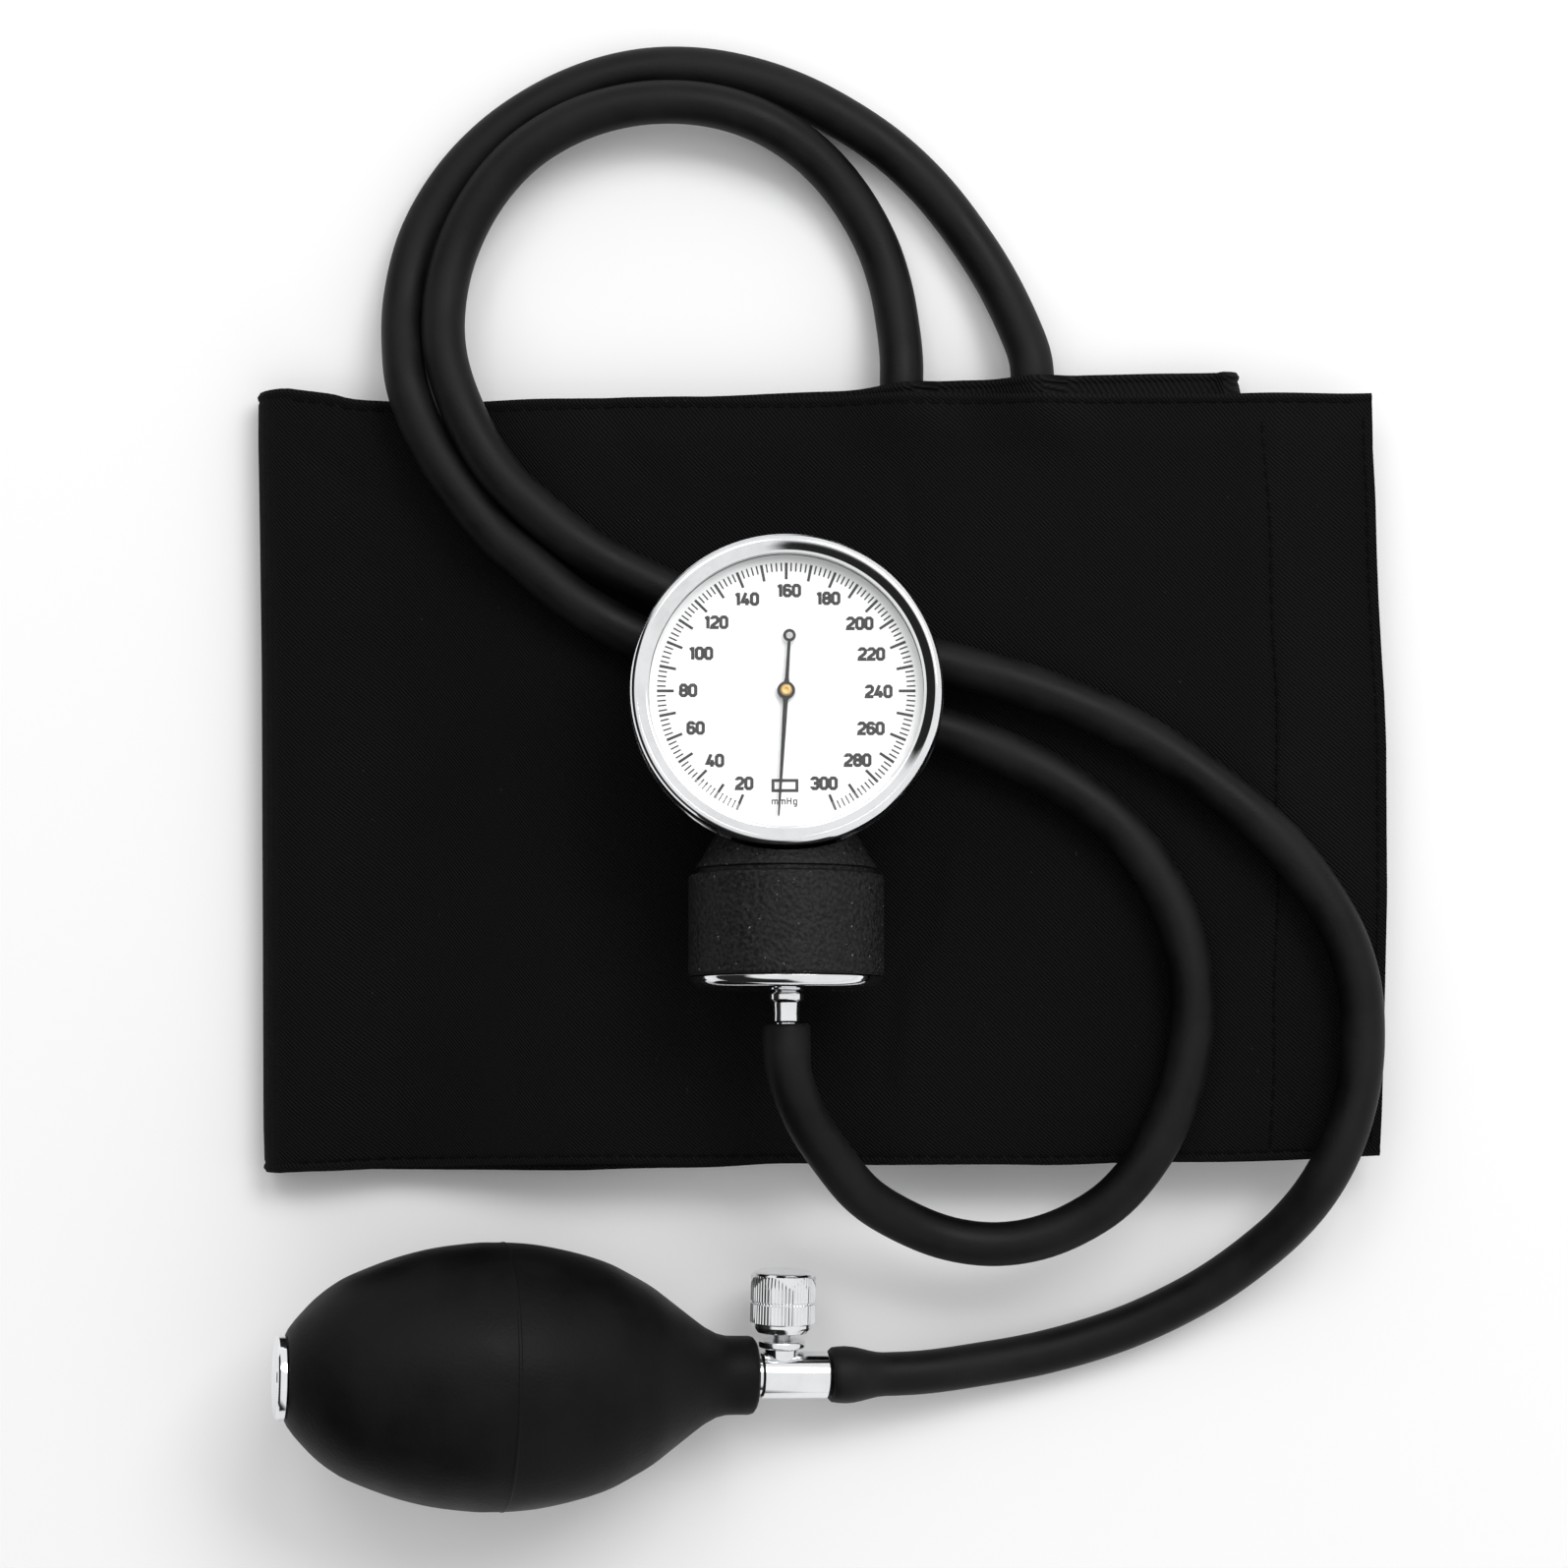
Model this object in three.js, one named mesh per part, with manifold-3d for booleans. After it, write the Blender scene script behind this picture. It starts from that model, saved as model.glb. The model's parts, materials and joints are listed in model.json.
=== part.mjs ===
// An aneroid blood pressure monitor: a folded cuff, a dial gauge and a rubber bulb joined by two hoses.
// Millimetres, +Z up. The cuff lies on the floor plane z = 0 with its width along Y.
// The dial gauge lies face up on the cuff, and the bulb lies beside the cuff on the floor.
import * as THREE from "three";
import { mergeVertices } from "three/addons/utils/BufferGeometryUtils.js";
import Module from "manifold-3d";

const wasm = await Module();
wasm.setup();

// Driving dimensions. GAP is the air left between neighbouring pieces.
const GAP = 0.3;
const HOSE = { radius: 4.1, sides: 8, steps: 40, barbGap: 0.3 };
const CUFF = {
  leftFold: -100.9,
  rightFold: 74,
  innerEnd: -43.7,
  outerEnd: 104.3,
  lowEdge: -44.6,
  highEdge: 101.1,
  bottomLayer: 2.5,
  middleLayer: 9.7,
  topLayer: 13.8,
  fabric: 0.8,
  thinGap: 0.25,
  bladderGap: 1.7,
};
const BLADDER = {
  thickness: 2.8,
  from: -82,
  to: 20,
  low: -31,
  high: 89,
  neckRadius: 3.2,
  neckX: [15.2, 39.8],
};
const GAUGE = { x: -6.5, y: 44.9, z: 42, tilt: 5, dialRadius: 26, drumAxis: -12, drumRadius: 17.8 };
const MOVEMENT = {
  shaftX: -3,
  shaftY: -14.7,
  pinionTeeth: 8,
  sectorTeeth: 72,
  needleRest: 3.4,
  leverRest: -18.5,
};
const BULB = { x: -59, y: -80.9, z: 25.1, tilt: 12, yaw: -1.5 };
const VALVE = { bodyFrom: 48.7, bodyTo: 61.7, barbTo: 71, radius: 4.4, knobAt: 52.7, knobRadius: 6.05 };

const ROUND = 32;
const SMALL_ROUND = 14;

// The finishes: colour, roughness and metalness.
const finishes = {
  nylon: [0x15161a, 0.85, 0],
  lining: [0x1a1b1f, 0.9, 0],
  latex: [0x2a2622, 0.7, 0],
  hookTape: [0x101012, 0.95, 0],
  blackRubber: [0x17181a, 0.55, 0],
  crinkle: [0x16171a, 0.6, 0.2],
  chrome: [0xdfe2e6, 0.12, 1],
  brass: [0xb58a45, 0.3, 1],
  steel: [0x9a9da1, 0.3, 1],
  dialWhite: [0xf2f3f3, 0.45, 0],
  needleBlack: [0x1b1b1d, 0.4, 0.2],
  glass: [0xeef3f6, 0.05, 0],
  spacer: [0xc9ccd0, 0.35, 0],
  seal: [0x2b2b2b, 0.7, 0],
};

function mesh(name, geometry, finish) {
  const [color, roughness, metalness] = finishes[finish];
  const piece = new THREE.Mesh(geometry, new THREE.MeshStandardMaterial({ color, roughness, metalness }));
  piece.name = name;
  return piece;
}

// A closed geometry holding positions only, without the flat triangles that a turned shape's poles leave.
function cleaned(geometry) {
  const bare = geometry.index ? geometry.toNonIndexed() : geometry.clone();
  bare.deleteAttribute("normal");
  bare.deleteAttribute("uv");
  const merged = mergeVertices(bare, 1e-4);
  const kept = [];
  for (let i = 0; i < merged.index.count; i += 3) {
    const [a, b, c] = [0, 1, 2].map((k) => merged.index.getX(i + k));
    if (a !== b && b !== c && c !== a) kept.push(a, b, c);
  }
  merged.setIndex(kept);
  return merged;
}

function toSolid(geometry) {
  const merged = cleaned(geometry);
  const triVerts = new Uint32Array(merged.index.array);
  return new wasm.Manifold(
    new wasm.Mesh({ numProp: 3, vertProperties: merged.attributes.position.array, triVerts }),
  );
}

function toGeometry(solid) {
  const { vertProperties, triVerts } = solid.getMesh();
  const geometry = new THREE.BufferGeometry();
  geometry.setAttribute("position", new THREE.BufferAttribute(Float32Array.from(vertProperties), 3));
  geometry.setIndex(Array.from(triVerts));
  geometry.computeVertexNormals();
  return geometry;
}

function joined(first, ...others) {
  return toGeometry(others.reduce((solid, other) => solid.add(toSolid(other)), toSolid(first)));
}

function cut(first, ...others) {
  return toGeometry(others.reduce((solid, other) => solid.subtract(toSolid(other)), toSolid(first)));
}

// A shape turned about +Z from [radius, height] points. The points run up the outside, and a ring's come
// back down the inside, so that the faces point out.
function turned(points, sides = ROUND, ring = false) {
  const outline = points.map(([r, h]) => new THREE.Vector2(r, h));
  if (ring) outline.push(outline[0].clone());
  const lathe = new THREE.LatheGeometry(outline, sides);
  return cleaned(lathe.rotateX(Math.PI / 2));
}

const disc = (radius, low, high, sides = ROUND) =>
  turned([[0, low], [radius, low], [radius, high], [0, high]], sides);
const ring = (inner, outer, low, high, sides = ROUND) =>
  turned([[outer, low], [outer, high], [inner, high], [inner, low]], sides, true);

// A flat shape in XY raised from low to high.
function raised(shape, low, high, curveSegments = 8) {
  const options = { depth: high - low, bevelEnabled: false, curveSegments };
  return new THREE.ExtrudeGeometry(shape, options).translate(0, 0, low);
}

const shapeOf = (points) => new THREE.Shape(points.map(([x, y]) => new THREE.Vector2(x, y)));

function circleHole(x, y, radius) {
  const hole = new THREE.Path();
  hole.absarc(x, y, radius, 0, 2 * Math.PI, true);
  return hole;
}

const degrees = THREE.MathUtils.degToRad;
const smooth = (t) => THREE.MathUtils.smoothstep(t, 0, 1);

// ---------------------------------------------------------------- cuff
// One long strip folded in three: the bottom layer, a right fold, the middle layer, a left fold and the top
// layer. The middle layer sags to the floor beyond the bottom layer's end, and the top layer dips before the
// left fold.

const sag = (x) => smooth((-44.5 - x) / 33.5);

function middleHeight(x) {
  const sagged = CUFF.middleLayer - (CUFF.middleLayer - 2.8) * sag(x);
  return sagged - 1.45 * smooth((-80 - x) / 14);
}

function topHeight(x) {
  const dip = CUFF.topLayer - (CUFF.topLayer - 6.9) * sag(x);
  const droop = 2.5 * smooth((x - 80) / 23.5);
  return dip + 2.15 * smooth((-80 - x) / 18) - droop;
}

// Half the clear space between the two fabrics: wide where the bladder lies between them.
function halfGap(layer, x) {
  if (layer === "top" || layer === "left") return CUFF.thinGap;
  if (layer === "right") return CUFF.bladderGap;
  const bladderEnd = layer === "middle" ? BLADDER.from : BLADDER.to;
  return THREE.MathUtils.lerp(CUFF.bladderGap, CUFF.thinGap, smooth((bladderEnd - 1 - x) / 8));
}

// The strip's centre line as points { x, z, layer }, from the inner end to the outer end.
function stripLine() {
  const line = [];
  const run = (layer, from, to, step, height) => {
    const count = Math.round(Math.abs(to - from) / step);
    for (let i = 0; i <= count; i++) {
      const x = from + ((to - from) * i) / count;
      line.push({ x, z: height(x), layer });
    }
  };
  const fold = (layer, at, low, high, side) => {
    const [turns, radius] = [7, (high - low) / 2];
    for (let i = 1; i < turns; i++) {
      const angle = -Math.PI / 2 + (Math.PI * i) / turns;
      const x = at + side * radius * Math.cos(angle);
      line.push({ x, z: low + radius + radius * Math.sin(angle), layer });
    }
  };
  run("bottom", CUFF.innerEnd, CUFF.rightFold, 9, () => CUFF.bottomLayer);
  fold("right", CUFF.rightFold, CUFF.bottomLayer, CUFF.middleLayer, 1);
  run("middle", CUFF.rightFold, CUFF.leftFold, 5, middleHeight);
  fold("left", CUFF.leftFold, middleHeight(CUFF.leftFold), topHeight(CUFF.leftFold), -1);
  run("top", CUFF.leftFold, CUFF.outerEnd, 5, topHeight);
  return line;
}

// The strip's normal at each point: it points up on the bottom layer.
function withNormals(line) {
  return line.map((point, i) => {
    const before = line[Math.max(i - 1, 0)];
    const after = line[Math.min(i + 1, line.length - 1)];
    const along = new THREE.Vector2(after.x - before.x, after.z - before.z).normalize();
    return { ...point, nx: -along.y, nz: along.x };
  });
}

// The lower layers are turned a little against the top one, and the top layer narrows towards its outer end.
const skew = (layer, x) => (layer === "top" || layer === "left" ? 0 : 4.2 * Math.max(0, (x + 44) / 124));
const narrowing = (layer, x) => (layer === "top" ? 3.6 * Math.max(0, (x + 105) / 210) : 0);

// A band between two offsets from the strip's line, reaching from low to high along Y.
function band(line, near, far, low, high) {
  const side = (offset) =>
    line.map((p) => {
      const d = offset(p);
      return { x: p.x + p.nx * d, z: p.z + p.nz * d, layer: p.layer, at: p.x };
    });
  const outline = [...side(near), ...side(far).reverse()];
  const flat = (points) => points.map((p) => new THREE.Vector2(p.x, p.z));
  if (THREE.ShapeUtils.isClockWise(flat(outline))) outline.reverse();
  const count = outline.length;
  const positions = [];
  for (const p of outline) positions.push(p.x, low + skew(p.layer, p.at) + narrowing(p.layer, p.at), p.z);
  for (const p of outline) positions.push(p.x, high + skew(p.layer, p.at), p.z);
  const faces = [];
  for (let i = 0; i < count; i++) {
    const next = (i + 1) % count;
    faces.push(count + i, count + next, next, count + i, next, i);
  }
  for (const [a, b, c] of THREE.ShapeUtils.triangulateShape(flat(outline), [])) {
    faces.push(a, b, c, count + c, count + b, count + a);
  }
  const geometry = new THREE.BufferGeometry();
  geometry.setAttribute("position", new THREE.Float32BufferAttribute(positions, 3));
  geometry.setIndex(faces);
  return geometry;
}

function buildCuff() {
  const group = new THREE.Group();
  const line = withNormals(stripLine());
  const inside = (p) => halfGap(p.layer, p.x);
  const outside = (p) => halfGap(p.layer, p.x) + CUFF.fabric;
  const minus = (f) => (p) => -f(p);
  const outer = band(line, inside, outside, CUFF.lowEdge, CUFF.highEdge);
  const inner = band(line, minus(inside), minus(outside), CUFF.lowEdge, CUFF.highEdge);
  group.add(mesh("cuff_outer_fabric", outer, "nylon"));
  group.add(mesh("cuff_inner_fabric", inner, "lining"));
  group.add(mesh("cuff_bladder", bladderGeometry(line), "latex"));
  group.add(mesh("cuff_loop_patch", loopPatchGeometry(), "hookTape"));
  group.add(mesh("cuff_hook_patch", hookPatchGeometry(), "hookTape"));
  return group;
}

// The rubber bladder is folded with the strip and has two flattened necks that the hoses are fixed to.
function bladderGeometry(line) {
  const held = line.filter(
    (p) =>
      p.layer === "right" ||
      (p.layer === "bottom" && p.x >= BLADDER.to) ||
      (p.layer === "middle" && p.x >= BLADDER.from),
  );
  const half = BLADDER.thickness / 2;
  const bag = band(held, () => half, () => -half, BLADDER.low, BLADDER.high);
  const necks = BLADDER.neckX.map((x) => {
    const edge = CUFF.highEdge + skew("middle", x) - 0.6;
    const neck = disc(BLADDER.neckRadius, 0, edge - BLADDER.high + 3, SMALL_ROUND);
    neck.scale(1, half / BLADDER.neckRadius, 1);
    return neck.rotateX(-Math.PI / 2).translate(x, BLADDER.high - 3, CUFF.middleLayer);
  });
  return joined(bag, ...necks);
}

// The pile half of the fastener is sewn to the outer fabric, between the bottom and middle layers.
function loopPatchGeometry() {
  const low = CUFF.bottomLayer + CUFF.bladderGap + CUFF.fabric + GAP;
  const outline = shapeOf([[-30, -34], [66, -32], [66, 94], [-30, 92]]);
  return raised(outline, low, low + 1.6);
}

// The hook half lies under the outer end of the top layer and follows its droop.
function hookPatchGeometry() {
  const [from, to, steps, thickness] = [83.5, 101.5, 4, 1.2];
  const line = [];
  for (let i = 0; i <= steps; i++) {
    const x = from + ((to - from) * i) / steps;
    line.push({ x, z: topHeight(x) - CUFF.thinGap - CUFF.fabric - GAP - thickness / 2, layer: "top" });
  }
  const half = thickness / 2;
  return band(withNormals(line), () => half, () => -half, -38, 97);
}

// ---------------------------------------------------------------- hoses
// Each route runs from the cuff's top edge, round the loop above the cuff and over the cuff under the dial.

const BULB_HOSE_ROUTE = [
  [15.2, 103.9, 9.7],
  [15.2, 108, 9],
  [14.7, 113.7, 7.2],
  [13.2, 122.6, 5],
  [10.5, 130.6, 4.6],
  [5.2, 139.7, 5.2],
  [-1.5, 146.9, 6.8],
  [-9.5, 152.1, 8.8],
  [-18.5, 155.3, 9.8],
  [-28, 156.4, 10],
  [-37.7, 155.5, 9.9],
  [-47.2, 152.4, 9.8],
  [-56.1, 146.8, 9.7],
  [-63.4, 138.6, 9.5],
  [-68.6, 128.2, 9.5],
  [-70.7, 118, 10.9],
  [-70.2, 108.5, 14.3],
  [-67, 98.5, 17],
  [-60.6, 87.1, 18.9],
  [-50.9, 77.4, 20.2],
  [-43.1, 71.6, 20.1],
  [-34.2, 66.7, 19.6],
  [-25, 62.5, 19.3],
  [-11.9, 57.9, 19.3],
  [8.2, 53.9, 19.3],
  [25.1, 50.2, 19.3],
  [41.4, 45.4, 19.3],
  [57.1, 38.5, 19.3],
  [71.6, 29.1, 19.3],
  [86.3, 16.4, 19.2],
  [96.2, 2.1, 18.7],
  [99.9, -8.5, 18.2],
  [100.7, -19, 18],
  [99.9, -28, 18],
  [97, -38.2, 18.4],
  [92.7, -46.8, 17.2],
  [87.5, -54.2, 13.2],
  [81.1, -60.6, 9.4],
  [74, -66.2, 6.7],
  [66.2, -70.8, 5.3],
  [58, -74.6, 4.5],
  [49.2, -77.6, 4.3],
  [40, -79.9, 4.6],
  [30.8, -81.4, 5.5],
  [19.5, -82.6, 8.1],
  [9.8, -82.7, 10.4],
];
const GAUGE_HOSE_ROUTE = [
  [39.8, 104.7, 9.7],
  [39.4, 108.4, 9.2],
  [37.8, 113.4, 7.6],
  [33.7, 122.6, 5],
  [28.9, 130.5, 4.4],
  [21.4, 140.3, 4.3],
  [13.5, 147.9, 4.3],
  [5.2, 153.7, 4.3],
  [-4.3, 158.7, 4.3],
  [-14.1, 162, 4.3],
  [-24, 163.6, 4.3],
  [-34.1, 163.3, 4.3],
  [-43.9, 160.9, 4.3],
  [-53.4, 156.5, 4.3],
  [-62.3, 150.2, 4.3],
  [-70, 141.8, 4.4],
  [-75.8, 131.3, 5],
  [-78.4, 119.8, 7],
  [-78.4, 110.5, 10.6],
  [-77.1, 102, 13.7],
  [-72.9, 91.9, 14.7],
  [-67, 82.7, 15.9],
  [-60.3, 74.5, 17.3],
  [-55.1, 70.1, 18.3],
  [-46.2, 62.5, 19.3],
  [-34.5, 55.7, 19.3],
  [-15.6, 47.4, 19.3],
  [4.5, 42.7, 19.3],
  [23.5, 38, 19.3],
  [33.3, 34.3, 19.3],
  [44.2, 28.9, 19.3],
  [55, 20.7, 19.3],
  [63, 10, 19.3],
  [67.6, -1.7, 19.3],
  [68.9, -14.2, 19.3],
  [67.1, -26.9, 19.3],
  [62.5, -38.3, 19.3],
  [55.2, -48, 18.8],
  [48.2, -53.1, 17.8],
  [40.4, -56.3, 17.6],
  [32, -57.4, 17.6],
  [23.5, -56.2, 18.3],
  [15.5, -52.9, 20.2],
  [8, -47.9, 24],
  [2.1, -40.6, 28.9],
  [-3.2, -32, 33.6],
  [-6.1, -23.7, 35.8],
];

// A plain round tube on a smooth route, hollowed at its far end where it is pushed over a barb.
function hoseGeometry(route, end, barb) {
  const points = [...route.map((p) => new THREE.Vector3(...p)), end.mouth.clone()];
  const path = new THREE.CatmullRomCurve3(points, false, "centripetal");
  const section = new THREE.Shape();
  section.absarc(0, 0, HOSE.radius, 0, 2 * Math.PI, false);
  const tube = new THREE.ExtrudeGeometry(section, {
    steps: HOSE.steps,
    curveSegments: HOSE.sides / 2,
    extrudePath: path,
  });
  const hollow = disc(barb.radius + HOSE.barbGap, -barb.length - HOSE.barbGap, 2, SMALL_ROUND);
  const up = new THREE.Vector3(0, 0, 1);
  hollow.applyQuaternion(new THREE.Quaternion().setFromUnitVectors(up, end.direction));
  hollow.translate(end.mouth.x, end.mouth.y, end.mouth.z);
  return cut(tube, hollow);
}

// ---------------------------------------------------------------- dial gauge
// In the gauge's own frame the dial's face is the plane z = 0, +Z looks out of the dial and -Y points to
// the hose. In the drum's frame +Z points to the hose, and distances are counted from the dial's centre.

const gauge = new THREE.Group();
gauge.position.set(GAUGE.x, GAUGE.y, GAUGE.z);
gauge.rotation.x = -degrees(GAUGE.tilt);
const drum = new THREE.Group();
drum.position.z = GAUGE.drumAxis;
drum.rotation.x = Math.PI / 2;
gauge.add(drum);

const DISH_BACK = -16.2;
const DISH_RIM = -0.8;
const DRUM_END = 50.8;
const NIPPLE = { mouth: 59.2, barb: 68, barbRadius: 2.5 };

const onDrumAxis = (geometry) => geometry.rotateX(Math.PI / 2).translate(0, 0, GAUGE.drumAxis);

function caseGeometry() {
  const dish = turned([
    [0, DISH_BACK], [20.5, DISH_BACK], [23, -15], [26.2, -10], [26.8, -6], [26.8, DISH_RIM], [0, DISH_RIM],
  ]);
  const drumOuter = turned([
    [0, 20], [12, 20], [12.8, 25], [16.6, 31], [16, 31.5], [16, 32.1],
    [GAUGE.drumRadius, 32.6], [GAUGE.drumRadius, DRUM_END], [0, DRUM_END],
  ]);
  const dishInner = turned([
    [0, -14.7], [19.6, -14.7], [22, -13.6], [24.8, -9.5], [25.3, -6], [25.3, 1], [0, 1],
  ]);
  const drumInner = disc(15.8, 33.5, DRUM_END + 1);
  const passage = disc(6, 18, 34, SMALL_ROUND);
  const underBezel = disc(28.8, -3.4, 20);
  const neck = toSolid(onDrumAxis(drumOuter)).subtract(toSolid(underBezel));
  const body = toSolid(dish).add(neck);
  const hollows = [dishInner, onDrumAxis(drumInner), onDrumAxis(passage)];
  return toGeometry(hollows.reduce((solid, hollow) => solid.subtract(toSolid(hollow)), body));
}

function bezelGeometry() {
  const outer = [[27.2, -3], [28.4, -2.6], [28.1, -1.6], [28.1, 1.4], [27.4, 3.6], [25, 5]];
  const inner = [[24.6, 4.5], [24.7, 3.9], [26.8, 3.9], [27.2, 2.5]];
  return turned([...outer, ...inner], 36, true);
}

function buildDialSide() {
  gauge.add(mesh("gauge_case", caseGeometry(), "crinkle"));
  gauge.add(mesh("gauge_bezel", bezelGeometry(), "chrome"));
  gauge.add(mesh("gauge_lens", disc(26.2, 2.5, 3.6), "glass"));
  gauge.add(mesh("lens_spacer_ring", ring(24.9, 26, GAP, 2.2), "spacer"));
  gauge.add(mesh("gauge_dial", ring(1, GAUGE.dialRadius, -0.5, 0), "dialWhite"));
}

// The needle points to the scale with one end and carries a small open ring on the other.
function needleGeometry() {
  const outline = shapeOf([
    [-0.6, -1.6], [-0.45, -8], [-0.14, -22.5], [0.14, -22.5], [0.45, -8], [0.6, -1.6],
    [1.6, 0], [0.55, 1.6], [0.3, 8.9], [-0.3, 8.9], [-0.55, 1.6], [-1.6, 0],
  ]);
  outline.holes.push(circleHole(0, 0, 0.9));
  const eye = ring(0.6, 1.15, 1, 1.35, SMALL_ROUND).translate(0, 9.9, 0);
  return joined(raised(outline, 1, 1.35, 6), eye);
}

function buildNeedle() {
  const turning = new THREE.Group();
  turning.rotation.z = -degrees(MOVEMENT.needleRest);
  turning.add(mesh("needle", needleGeometry(), "needleBlack"));
  const hub = turned([[0, 0.65], [0.6, 0.65], [0.6, 1.65], [1.5, 1.65], [1.5, 2], [1, 2.25], [0, 2.25]], 16);
  turning.add(mesh("needle_hub", hub, "brass"));
  gauge.add(turning);
}

// Teeth are narrow triangles with backlash, so that meshing teeth never touch.
function toothedShape({ teeth, first, last, root, tip, halfRoot, halfTip }) {
  const points = [];
  const pitch = 360 / teeth;
  for (let k = first; k <= last; k++) {
    for (const [radius, offset] of [[root, -halfRoot], [tip, -halfTip], [tip, halfTip], [root, halfRoot]]) {
      const angle = degrees(k * pitch) + offset / radius;
      points.push([radius * Math.cos(angle), radius * Math.sin(angle)]);
    }
  }
  return points;
}

const towardsPinion = Math.atan2(-MOVEMENT.shaftY, -MOVEMENT.shaftX);

function buildPinion() {
  const teeth = toothedShape({
    teeth: MOVEMENT.pinionTeeth, first: 0, last: MOVEMENT.pinionTeeth - 1,
    root: 0.95, tip: 1.8, halfRoot: 0.24, halfTip: 0.1,
  });
  const wheel = raised(shapeOf(teeth), -6.8, -4.4);
  const arbor = joined(wheel, disc(0.45, -13.9, 0.35, 12));
  const pinion = mesh("pinion_arbor", arbor, "brass");
  pinion.rotation.z = towardsPinion + Math.PI;
  gauge.add(pinion);
}

// The sector's teeth straddle the line of centres, so a gap meets the pinion's tooth at rest.
function sectorGeometry() {
  const pitch = 360 / MOVEMENT.sectorTeeth;
  const rim = toothedShape({
    teeth: MOVEMENT.sectorTeeth, first: -8, last: 0, root: 12.75, tip: 13.85, halfRoot: 0.24, halfTip: 0.1,
  });
  const outline = shapeOf([...rim, [0, 2], [-1.8, -0.8], [0, -2]]);
  outline.holes.push(circleHole(0, 0, 1));
  const plate = raised(outline, -6, -5.2, 6);
  return plate.rotateZ(degrees(pitch / 2));
}

function buildSector() {
  const rocking = new THREE.Group();
  rocking.position.set(MOVEMENT.shaftX, MOVEMENT.shaftY, 0);
  const sector = mesh("sector_gear", sectorGeometry(), "brass");
  sector.rotation.z = towardsPinion;
  rocking.add(sector);
  const shaft = turned([[0, -13.9], [0.7, -13.9], [0.7, -2.7], [0, -2.7]], 12);
  rocking.add(mesh("rocking_shaft", shaft, "steel"));
  const arm = shapeOf([
    [-1.6, -1.5], [1.2, -1.5], [1.8, -0.6], [5, -0.6], [5, 0.6], [1.8, 0.6], [1.2, 1.5], [-1.6, 1.5],
  ]);
  const lever = mesh("rocking_lever", cut(raised(arm, -12.6, -11.4), disc(1, -13, -11, 12)), "steel");
  lever.rotation.z = degrees(MOVEMENT.leverRest);
  rocking.add(lever);
  gauge.add(rocking);
}

const PILLARS = { left: [-7.2, 4.5], right: [7.2, 4.5], lower: [7.5, -16] };

function movementPlate(low, high) {
  const outline = shapeOf([
    [-9, -14], [-6, -18.3], [6.5, -18.3], [9.2, -15], [9.2, 4], [6.5, 6.8], [-6.5, 6.8], [-9, 4],
  ]);
  outline.holes.push(circleHole(0, 0, 0.8));
  outline.holes.push(circleHole(MOVEMENT.shaftX, MOVEMENT.shaftY, 1));
  return raised(outline, low, high, 6);
}

function buildMovement() {
  gauge.add(mesh("movement_back_plate", movementPlate(-14.3, -13.4), "brass"));
  gauge.add(mesh("movement_front_plate", movementPlate(-3.2, -2.3), "brass"));
  for (const [side, [x, y]] of Object.entries(PILLARS)) {
    const pillar = mesh(`movement_pillar_${side}`, disc(1.1, -13.1, -3.5, 12), "brass");
    pillar.position.set(x, y, 0);
    gauge.add(pillar);
    const screwHead = cut(disc(1.3, -2, -1.1, 12), new THREE.BoxGeometry(3, 0.35, 0.6).translate(0, 0, -1.1));
    const screw = mesh(`movement_screw_${side}`, screwHead, "steel");
    screw.position.set(x, y, 0);
    gauge.add(screw);
  }
  gauge.add(mesh("hairspring", spiralGeometry(), "steel"));
}

// A flat spiral ribbon round the pinion's arbor.
function spiralGeometry() {
  const [turns, perTurn, inner, outer, width] = [3, 18, 1.2, 5.2, 0.25];
  const edge = (shift) => {
    const points = [];
    for (let i = 0; i <= turns * perTurn; i++) {
      const radius = inner + ((outer - inner) * i) / (turns * perTurn) + shift;
      const angle = (2 * Math.PI * i) / perTurn;
      points.push([radius * Math.cos(angle), radius * Math.sin(angle)]);
    }
    return points;
  };
  return raised(shapeOf([...edge(0), ...edge(width).reverse()]), -9, -8.3);
}

// The drum holds the pressure capsule: two corrugated shells on a boss, with a pin that pushes the lever.
function corrugated(low, thickness, bore) {
  const radii = [13.5, 11.2, 8.9, 6.6, 4.3];
  const wave = (r, i) => (i % 2 ? 0.35 : -0.35);
  const top = radii.map((r, i) => [r, low + thickness + wave(r, i)]);
  const bottom = radii.map((r, i) => [r, low + wave(r, i)]).reverse();
  if (bore) return turned([...bottom, ...top, [bore, low + thickness], [bore, low]], 24, true);
  return turned([[0, low], ...bottom, ...top, [0, low + thickness]], 24);
}

function buildDrum() {
  drum.add(mesh("capsule_upper_shell", corrugated(42.4, 1.3, 0), "brass"));
  drum.add(mesh("push_pin", disc(0.4, 16.7, 41.9, 12), "steel"));
  drum.add(mesh("capsule_lower_shell", corrugated(44.8, 1.3, 1.2), "brass"));
  drum.add(mesh("capsule_base", ring(2.8, 5, 47, 50.6, SMALL_ROUND), "brass"));
  drum.add(mesh("drum_gasket", ring(14.2, 15.4, 49.8, 50.7, 24), "seal"));
  const plate = [[17.4, 51.1], [17.6, 51.6], [15.6, 52.4], [11, 53.1], [6, 53.45], [2.7, 53.5], [2.7, 51.1]];
  drum.add(mesh("gauge_base_plate", turned(plate, ROUND, true), "chrome"));
  const nipple = [
    [2.4, 47.4], [2.4, 53.8], [3.2, 53.8], [3.2, 55.3], [2.5, 55.6], [2.5, 59], [2, 59.2],
    [2.5, 62], [2, 62.2], [2.5, 65], [2, 65.2], [2.4, 67.2], [1.9, 68], [1, 68], [1, 47.4],
  ];
  drum.add(mesh("gauge_nipple", turned(nipple, SMALL_ROUND, true), "chrome"));
}

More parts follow.
